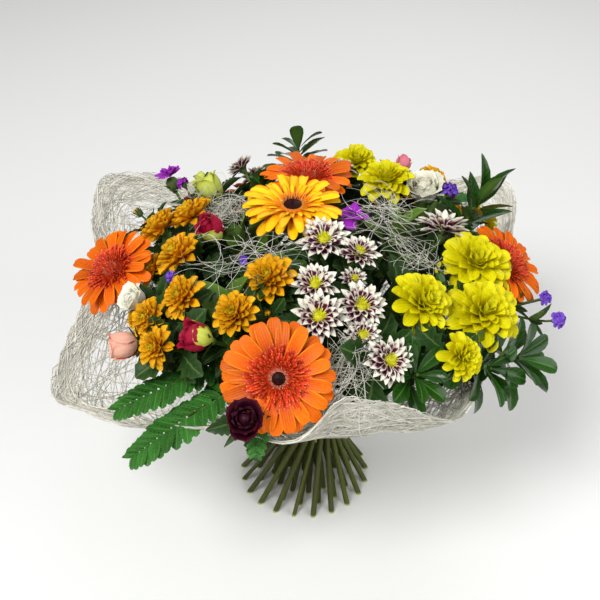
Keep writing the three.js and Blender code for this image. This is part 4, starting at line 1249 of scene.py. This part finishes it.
def rose_head(g, flower, centre, axis, width, seed):
    """Petals wound in a spiral cup: a closed bud, or a rose whose outer petals lean out."""
    is_open = flower.colour in OPEN_ROSES
    at = frame_at(centre, axis, width * MM, seed % 360)
    low = frame_at(centre - axis * 0.55 * width * MM, axis, (0.78 if is_open else 1.06) * width * MM, seed % 360)
    inner = Layer("bud_petal", flower.colour, 8, GOLDEN_ANGLE, (0.0, 0.03), (0.5, 0.04), (2, -5), (0.42, 0.96),
                  0.8, (3, 8, 0.05), 0.07)
    heads = [g.layer(inner, low, seed)]
    if flower.colour == "crimson":
        guard = Layer("bud_petal", "green", 2, 130, (0.03, 0.04), (-0.02, -0.03), (-4, -7), (0.84, 0.88), 1.0,
                      (3, 8, 0.05), 0.1)
        heads.append(g.layer(guard, low, seed + 2))
    if is_open:
        outer = Layer("rose_petal", flower.colour, 6, GOLDEN_ANGLE, (0.02, 0.04), (0.08, 0.0), (-4, -9),
                      (0.88, 0.94), 1.0, (4, 8, 0.06), 0.1)
        heads.append(g.layer(outer, low, seed + 1))
    core = lathed([(0, 0.1), (0.2, 0.16), (0.3, 0.5), (0.24, 0.74), (0.1, 0.86), (0, 0.88)], 12,
                  g.materials[flower.colour], tone=0.0)
    heads.append(core.placed(low))
    hip = lathed([(0, -0.74), (0.05, -0.72), (0.12, -0.66), (0.14, -0.58), (0.1, -0.5), (0, -0.48)], 12,
                 g.materials["spray_leaf"]).placed(at)
    sepals = Layer("sepal", "spray_leaf", 5, 72, (0.1, 0.12), (-0.6, -0.6), (44, 16), (0.6, 0.8), 1.0,
                   (16, 6, 0.1))
    return heads, [hip, g.layer(sepals, at, seed)]


def rose_leaves(g, path, seed, _on_main):
    return g.leaves_down(path, (26, 46, 68, 92), ROSE_LEAVES, 38, seed)


class BOUQUET_OT_roses(bpy.types.Operator):
    """Grow the small roses and rose buds with their serrated leaves"""
    bl_idname = "bouquet.roses"
    bl_label = "Roses"

    def execute(self, context):
        return grow_flowers(ROSES, rose_head, seat(ROSE_BASE), rose_leaves)


# ------------------------------------------------------------------------------------------------
# Purple fillers
# ------------------------------------------------------------------------------------------------
FILLER_STEM_SHARE = 0.8
BROAD_FLORET = 20  # a filler head wider than this is one floret
SMALL_FLORETS = 5
CLUSTER_HALF_ANGLE = 78  # how far round its middle a cluster of small florets reaches


def filler_head(g, flower, centre, axis, width, seed):
    """One broad ruffled floret, or a dome of small ones."""
    is_broad = width > BROAD_FLORET
    florets = 1 if is_broad else SMALL_FLORETS
    floret = Layer("floret", flower.colour, 8, 72 * 1.06, (0.0, 0.02), (0.04, 0.0), (52, 4), (0.5, 0.74), 1.0,
                   (12, 10, 0.14), 0.2)
    if is_broad:
        floret = floret._replace(count=9, tilt=(62, 10), size=(0.34, 0.6))
    rng = np.random.default_rng(seed)
    petals = []
    size = width * MM
    reach = size * (0.95 if is_broad else 0.7)
    for i in range(florets):
        off = 0 if is_broad else CLUSTER_HALF_ANGLE * math.sqrt((i + 0.3) / florets)
        outward = frame_at((0, 0, 0), axis) @ Vector(direction(off, i * GOLDEN_ANGLE))
        place = np.array(centre) + np.array(outward) * size * 0.3 * rng.uniform(0.8, 1.1) - axis * size * 0.05
        petals.append(g.layer(floret, frame_at(place, unit(np.array(outward)), reach, i * 31), seed + i))
    core = lathed([(0, -0.5), (0.07, -0.48), (0.2, -0.3), (0.26, -0.05), (0.16, 0.12), (0, 0.16)], 10,
                  g.materials["spray_leaf"]).placed(frame_at(centre, axis, size))
    bracts = Layer("sepal", "spray_leaf", 8, GOLDEN_ANGLE, (0.06, 0.2), (-0.5, -0.2), (60, 30), (0.3, 0.36))
    return petals, [core, g.layer(bracts, frame_at(centre, axis, size), seed)]


def filler_leaves(g, path, seed, on_main):
    narrow = Layer("lance", "spray_leaf", 4, GOLDEN_ANGLE, (0.04, 0.05), (0, 0.1), (50, 34), (0.8, 1.0), 1.0,
                   (8, 12, 0.14))
    return g.leaves_down(path, (30, 52, 78) if on_main else (24,), narrow, 26, seed)


class BOUQUET_OT_fillers(bpy.types.Operator):
    """Grow the purple and violet filler flowers"""
    bl_idname = "bouquet.fillers"
    bl_label = "Purple fillers"

    def execute(self, context):
        return grow_flowers(FILLERS, filler_head, seat(1.0), filler_leaves, FILLER_STEM_SHARE)


# ------------------------------------------------------------------------------------------------
# Foliage
# ------------------------------------------------------------------------------------------------
# For each kind: blade, material, extra leaves, spread from the branch at its tip and lowest, the stretch
# of branch that the leaves grow on in millimetres, and the share of the leaf's length that they have.
FOLIAGE = {
    "whorl": ("obovate", "glossy_leaf", 1.8, (44, 84), 22, (0.8, 1.15)),
    "broad": ("ovate", "broad_leaf", 1.4, (18, 60), 34, (0.9, 1.25)),
    "lance": ("lance", "glossy_leaf", 1.7, (22, 74), 46, (1.05, 1.35)),
}


SET_PITCH = 22  # millimetres between the sets of leaves below a branch's end
TWIG_SHARE = 0.6  # how thick a branch still is at its end


def grow_branch(plant):
    g = grower()
    axis, end = direction(*plant.face), on_dome(*plant.tip)
    path = stem_path(plant.ring, g.slots[plant.name], end, axis)
    seed = int(plant.tip[0] * 5 + plant.tip[1])
    blade, material, more, spread, over, size = FOLIAGE[plant.kind]
    length = plant.leaf[0]
    count = round(plant.leaves * more)
    leaves = Layer(blade, material, count, GOLDEN_ANGLE, (0.03, 0.05), (0, -over / length),
                   (90 - spread[0], 90 - spread[1]), size, 1.0, (9, 10, 0.12), 0.03)
    shapes = [g.layer(leaves, frame_at(end, axis, length * MM), seed)]
    lower, sets = leaves._replace(count=5, height=(0, -0.4), tilt=(34, 8), size=(0.75, 0.9)), 3
    if plant.ring == OUTER_RING:  # where the sheet leaves less room
        lower, sets = lower._replace(tilt=(66, 46), size=(0.5, 0.66)), 1
    for step in range(1, sets + 1):
        place, along = before_end(path, (over + SET_PITCH * step) * MM)
        shapes.append(g.layer(lower, frame_at(place, along, length * MM, (seed + 50 * step) % 360), seed + step))
    width = g.sizes.stem_width
    shapes.append(g.stalk(path, FOOT_SHARE * width, TWIG_SHARE * width, (seed % 10) / 10, True))
    piece(f"{plant.name}_branch", shapes, "leaf_glossy", plant.name)


class BOUQUET_OT_branches(bpy.types.Operator):
    """Grow the pittosporum, salal and ruscus branches"""
    bl_idname = "bouquet.branches"
    bl_label = "Leafy branches"

    def execute(self, context):
        for plant in BRANCHES:
            grow_branch(plant)
        return {"FINISHED"}


FROND_START = 42  # how far before the end of its stem a frond's leaflets start
FROND_DROOP = 0.1  # how far its tip hangs, in shares of its length
LEAST_PAIRS, LEAFLET_PITCH, RIB_POINTS = 8, 7, 14


def grow_fern(plant):
    g = grower()
    axis, end = direction(*plant.face), on_dome(*plant.tip)
    path = stem_path(plant.ring, g.slots[plant.name], end, axis)
    length, width = plant.leaf
    seed = int(plant.tip[0] * 5 + plant.tip[1])
    side = unit(np.cross((0, 0, 1), axis))
    upward = np.cross(axis, side)
    matrix = Matrix(np.column_stack([axis, side, upward]).tolist()).to_4x4()
    start = end - axis * FROND_START * MM
    length += FROND_START
    matrix.translation = Vector(start)
    pairs = max(LEAST_PAIRS, round(length / LEAFLET_PITCH))
    blade = grown(g.frond, g.blades["leaflet"], Pairs=pairs, Kinds=KINDS - 1, Length=length * MM,
                  Half_Width=0.64 * width * MM, Droop=FROND_DROOP, Spread=66.0, Seed=seed,
                  Material=g.materials["fern"])
    shares = np.linspace(0, 1, RIB_POINTS)
    rib = np.stack([shares * length, 0 * shares, -FROND_DROOP * length * shares ** 2], axis=-1) * MM
    rib = rib @ np.array(matrix.to_3x3()).T + start
    shapes = [
        blade.placed(matrix),
        g.strand_shapes([rib], [np.linspace(1.6, 0.5, len(rib)) * MM], "fern", sides=6),
        g.stalk(path, 0.9 * g.sizes.stem_width, 1.8 * MM, (seed % 10) / 10, True),
    ]
    piece(f"{plant.name}_frond", shapes, "leaf_fern", plant.name)


class BOUQUET_OT_ferns(bpy.types.Operator):
    """Grow the fern fronds at the front, left and rear"""
    bl_idname = "bouquet.ferns"
    bl_label = "Ferns"

    def execute(self, context):
        for plant in FERNS:
            grow_fern(plant)
        return {"FINISHED"}


# ------------------------------------------------------------------------------------------------
# Fibre sheet, loose fibre and string
# ------------------------------------------------------------------------------------------------
RIM_STEPS = 24


def rim_table():
    """Azimuth, radius and height of the sheet's rim, from a closed smooth curve through its corners."""
    corners = np.array(SHEET_RIM, float)
    t = np.linspace(0, 1, RIM_STEPS, endpoint=False)[:, None]
    points = []
    for i in range(len(corners)):
        p0, p1, p2, p3 = (corners[(i + k) % len(corners)] for k in (-1, 0, 1, 2))
        points.append(0.5 * (2 * p1 + (p2 - p0) * t + (2 * p0 - 5 * p1 + 4 * p2 - p3) * t ** 2
                             + (3 * p1 - p0 - 3 * p2 + p3) * t ** 3))
    points = np.concatenate(points)
    azimuth = np.degrees(np.arctan2(points[:, 1], points[:, 0])) % 360
    order = np.argsort(azimuth)
    return azimuth[order], np.hypot(points[:, 0], points[:, 1])[order], points[order, 2]


NECK_SHARE = 0.11  # the flat sheet's middle that is gathered into the neck, as a share of its radius
FOLDS = ((9, 5.0, 0.4), (17, 2.6, 1.9), (4, 4.0, 2.6))  # count round the sheet, depth in mm, start
LOBE = {"azimuth": 279, "halves": (7, 18), "lift": 46}  # where the front right rim is folded up


def on_sheet(flat, off, table):
    """Places in millimetres on the gathered sheet, from places on the flat one with radius 1."""
    share_flat = np.hypot(flat[..., 0], flat[..., 1])
    azimuth = np.degrees(np.arctan2(flat[..., 1], flat[..., 0])) % 360
    radius = np.interp(azimuth, table[0], table[1], period=360)
    height = np.interp(azimuth, table[0], table[2], period=360)
    share = np.maximum(share_flat - NECK_SHARE, 0) / (1 - NECK_SHARE)
    turn = np.radians(azimuth)
    top = BINDING_HEIGHT + NECK_HEIGHT / 2
    reach = NECK_RADIUS + (radius - NECK_RADIUS) * share
    fold = sum(depth * np.sin(count * turn + start) for count, depth, start in FOLDS)
    fold = fold * np.sin(np.pi * np.minimum(share, 1) * 0.72) ** 0.8
    lobe_off = (azimuth - LOBE["azimuth"] + 180) % 360 - 180
    half = np.where(lobe_off < 0, *LOBE["halves"])
    lobe = LOBE["lift"] * np.exp(-(lobe_off / half) ** 2) * np.clip((share - 0.76) / 0.24, 0, 1) ** 1.6
    z = top + (height - top) * share - SHEET_SAG * np.sin(np.pi * np.minimum(share, 1)) + fold + off + lobe
    in_neck = np.clip((NECK_SHARE - share_flat) / NECK_SHARE, 0, 1)
    reach = reach + np.where(share > 0, 0, 0.4 + 0.5 * off)
    z = z - NECK_HEIGHT * in_neck
    return np.stack([reach * np.cos(turn), reach * np.sin(turn), z], axis=-1)


FIBRE_STEP = 9  # millimetres between a fibre's points
FIBRE_STEPS = 50
WEB_RADIUS = 232  # of the web laid flat, which sets the length of its fibres


def wandering(rng, count, steps, step, wander):
    """Lines that start anywhere on a flat round sheet of radius 1, curl and turn back at its rim."""
    start = np.sqrt(rng.uniform(0.004, 1, count))[:, None] * np.stack(
        [np.cos(a := rng.uniform(0, 2 * math.pi, count)), np.sin(a)], axis=-1)
    heading = rng.uniform(0, 2 * math.pi, count)
    curl = rng.normal(0, wander, count)
    lines = [start]
    for _ in range(steps):
        here = lines[-1]
        heading = heading + curl + rng.normal(0, 0.08, count)
        ahead = here + step * np.stack([np.cos(heading), np.sin(heading)], axis=-1)
        outside = np.hypot(ahead[:, 0], ahead[:, 1]) > 1.0
        home = np.arctan2(-here[:, 1], -here[:, 0])
        swing = (home - heading + math.pi) % (2 * math.pi) - math.pi
        heading = np.where(outside, heading + 0.45 * swing, heading)
        ahead = here + step * np.stack([np.cos(heading), np.sin(heading)], axis=-1)
        lines.append(ahead)
    return np.stack(lines, axis=1)


class BOUQUET_OT_fibre_sheet(bpy.types.Operator):
    """Lay the open sheet of fibres and gather it round the stems"""
    bl_idname = "bouquet.fibre_sheet"
    bl_label = "Fibre sheet"

    def execute(self, context):
        g = grower()
        rng = np.random.default_rng(12)
        count = g.sizes.fibre_count
        flat = wandering(rng, count, FIBRE_STEPS, FIBRE_STEP / WEB_RADIUS, 0.03)
        off = rng.uniform(-1.0, 1.0, count)[:, None] + 0.5 * np.sin(
            np.arange(FIBRE_STEPS + 1) * 0.7 + rng.uniform(0, 6, count)[:, None])
        places = on_sheet(flat, off, rim_table()) * MM
        widths = g.sizes.fibre_width * rng.uniform(0.7, 1.25, count)
        # Each strand's random tone sets how much painted shade it gets.
        shape = g.strand_shapes(list(places), widths, "fibre", sides=3, tones=rng.uniform(0, 1, count))
        sheet = piece("fibre_sheet_strands", [shape], "natural_fibre", "fibre_sheet")
        return {"FINISHED"}


LOOSE_STEPS = 20
LOOSE_WIDTH = 0.44  # of a sheet fibre's width


class BOUQUET_OT_loose_fibre(bpy.types.Operator):
    """Tease curls of the same fibre over the flowers"""
    bl_idname = "bouquet.loose_fibre"
    bl_label = "Loose fibre"

    def execute(self, context):
        g = grower()
        rng = np.random.default_rng(5)
        for node, tufts in TUFTS.items():
            lines = []
            for middle, spread, count, length, curl, above in tufts:
                steps = np.arange(LOOSE_STEPS)
                heading = rng.uniform(0, 2 * math.pi, count)[:, None]
                bends = rng.normal(0, curl, count)[:, None] + rng.normal(0, 0.12, (count, LOOSE_STEPS))
                heading = heading + np.cumsum(bends, axis=1)
                step = length * rng.uniform(0.6, 1.2, count)[:, None] / LOOSE_STEPS
                run = np.cumsum(np.stack([np.cos(heading), np.sin(heading)], axis=-1) * step[..., None], axis=1)
                run = run - run.mean(axis=1, keepdims=True)
                places = run + np.array(middle) + rng.normal(0, 0.5, (count, 1, 2)) * spread
                waves = rng.uniform(0.15, 0.4, count)[:, None] * steps + rng.uniform(0, 6, count)[:, None]
                lift = above + rng.uniform(-3, 7, count)[:, None] + 4 * np.sin(waves)
                height = dome_height(places[..., 0], places[..., 1]) + lift
                lines += list(np.concatenate([places, height[..., None]], axis=-1) * MM)
            widths = LOOSE_WIDTH * g.sizes.fibre_width * rng.uniform(0.8, 1.1, len(lines))
            # Each strand's random tone sets how much painted shade it gets.
            shape = g.strand_shapes(lines, widths, "loose_fibre", sides=3, tones=rng.uniform(0, 0.8, len(lines)))
            piece(f"{node}_strands", [shape], "natural_fibre", node)
        return {"FINISHED"}


STRING_TURNS = 3
STRING_POINTS_PER_TURN = 28
COIL_GAP, TAIL_DROP = 1.8, 27


class BOUQUET_OT_string(bpy.types.Operator):
    """Wind the twisted string round the gathered neck and knot it in front"""
    bl_idname = "bouquet.string"
    bl_label = "Binding string"

    def execute(self, context):
        g = grower()
        width = g.sizes.string_width / MM
        radius = NECK_RADIUS + COIL_GAP + width / 2
        turn = np.linspace(0, 2 * math.pi * STRING_TURNS, STRING_TURNS * STRING_POINTS_PER_TURN) - math.pi / 2
        rise = np.linspace(-1, 1, len(turn)) * width * 0.5 * (STRING_TURNS - 1)
        coil = np.stack([radius * np.cos(turn), radius * np.sin(turn), BINDING_HEIGHT + rise], axis=-1)
        front = -(radius + width)
        loop = np.linspace(0, 2 * math.pi * 1.6, 26)
        knot = np.stack([3.6 * np.cos(loop), front - 1.2 * np.cos(loop * 0.6) - 0.6,
                         BINDING_HEIGHT + 3.0 * np.sin(loop)], axis=-1)
        lines = [coil, knot]
        for side in (-1, 1):
            start = np.array([side * 1.0, front, BINDING_HEIGHT])
            end = np.array([side * 12.0, front - 6, BINDING_HEIGHT - TAIL_DROP])
            leaving, arriving = np.array([side * 0.8, -0.6, 0.0]), np.array([0.1 * side, 0, -1.0])
            lines.append(bent(start, leaving, end, arriving, (0.5, 0.5), 14))
        widths = [g.sizes.string_width * 0.9] * 2 + [g.sizes.string_width * 0.75] * 2
        shape = g.strand_shapes([line * MM for line in lines], widths, "string", sides=8)
        piece("binding_string_turns", [shape], "jute_string", "binding_string")
        return {"FINISHED"}


# ------------------------------------------------------------------------------------------------
# Stage
# ------------------------------------------------------------------------------------------------
CAMERA_AIM = Vector((-0.005, 0.0, 0.237))
CAMERA_DISTANCE = 0.95
CAMERA_ELEVATION = 35
CAMERA_LENS = 57.06
FLOOR_SIDE = 8.0
# Place, width in metres and power in watts.
LIGHTS = {
    "key_light": ((-0.9, -1.3, 2.0), 1.0, 46.0),
    "fill_light": ((1.5, -1.0, 1.3), 1.4, 14.0),
    "back_light": ((0.4, 1.7, 1.8), 1.2, 12.0),
}
WORLD_LIGHT = 0.36


class BOUQUET_OT_stage(bpy.types.Operator):
    """Set the pale floor, the soft lights and the camera"""
    bl_idname = "bouquet.stage"
    bl_label = "Stage"

    def execute(self, context):
        scene = context.scene
        half = FLOOR_SIDE / 2
        mesh = bpy.data.meshes.new("floor")
        corners = [(-half, -half, 0), (half, -half, 0), (half, half, 0), (-half, half, 0)]
        mesh.from_pydata(corners, [], [(0, 1, 2, 3)])
        floor = bpy.data.objects.new("floor", mesh)
        scene.collection.objects.link(floor)
        pale = bpy.data.materials.new("pale_floor")
        pale.use_nodes = True
        shader = pale.node_tree.nodes["Principled BSDF"]
        shader.inputs["Base Color"].default_value = (0.88, 0.88, 0.87, 1)
        shader.inputs["Roughness"].default_value = 0.9
        mesh.materials.append(pale)
        for name, (place, side, power) in LIGHTS.items():
            data = bpy.data.lights.new(name, "AREA")
            data.shape = "DISK"
            data.size = side
            data.energy = power
            light = bpy.data.objects.new(name, data)
            light.location = place
            light.rotation_euler = (CAMERA_AIM - Vector(place)).to_track_quat("-Z", "Y").to_euler()
            scene.collection.objects.link(light)
        world = bpy.data.worlds.new("soft_room")
        world.use_nodes = True
        background = world.node_tree.nodes["Background"]
        background.inputs["Color"].default_value = (1, 1, 1, 1)
        background.inputs["Strength"].default_value = WORLD_LIGHT
        scene.world = world
        scene.view_settings.view_transform = "Standard"
        down = math.radians(CAMERA_ELEVATION)
        data = bpy.data.cameras.new("camera")
        data.lens = CAMERA_LENS
        camera = bpy.data.objects.new("camera", data)
        camera.location = CAMERA_AIM + CAMERA_DISTANCE * Vector((0, -math.cos(down), math.sin(down)))
        camera.rotation_euler = Euler((math.pi / 2 - down, 0, 0))
        scene.collection.objects.link(camera)
        scene.camera = camera
        return {"FINISHED"}


OPERATORS = (
    BOUQUET_OT_stage, BOUQUET_OT_gerberas, BOUQUET_OT_chrysanthemums, BOUQUET_OT_roses, BOUQUET_OT_fillers,
    BOUQUET_OT_branches, BOUQUET_OT_ferns, BOUQUET_OT_fibre_sheet, BOUQUET_OT_loose_fibre, BOUQUET_OT_string,
)


class BOUQUET_PT_panel(bpy.types.Panel):
    """The bouquet's pieces, sizes and colours"""
    bl_idname = "BOUQUET_PT_panel"
    bl_label = "Mixed Flower Bouquet"
    bl_space_type = "VIEW_3D"
    bl_region_type = "UI"
    bl_category = "Bouquet"

    def draw(self, context):
        layout = self.layout
        for operator in OPERATORS:
            layout.operator(operator.bl_idname)
        for group in (context.scene.bouquet_sizes, context.scene.bouquet_colours):
            box = layout.box()
            for name in group.__annotations__:
                box.prop(group, name)


CLASSES = (BouquetColours, BouquetSizes, *OPERATORS, BOUQUET_PT_panel)


def register():
    for cls in CLASSES:
        bpy.utils.register_class(cls)
    bpy.types.Scene.bouquet_colours = PointerProperty(type=BouquetColours)
    bpy.types.Scene.bouquet_sizes = PointerProperty(type=BouquetSizes)


def unregister():
    del bpy.types.Scene.bouquet_sizes
    del bpy.types.Scene.bouquet_colours
    for cls in reversed(CLASSES):
        bpy.utils.unregister_class(cls)


def main():
    register()
    for operator in OPERATORS:
        group, name = operator.bl_idname.split(".")
        getattr(getattr(bpy.ops, group), name)()
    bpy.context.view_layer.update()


if __name__ == "__main__":
    main()
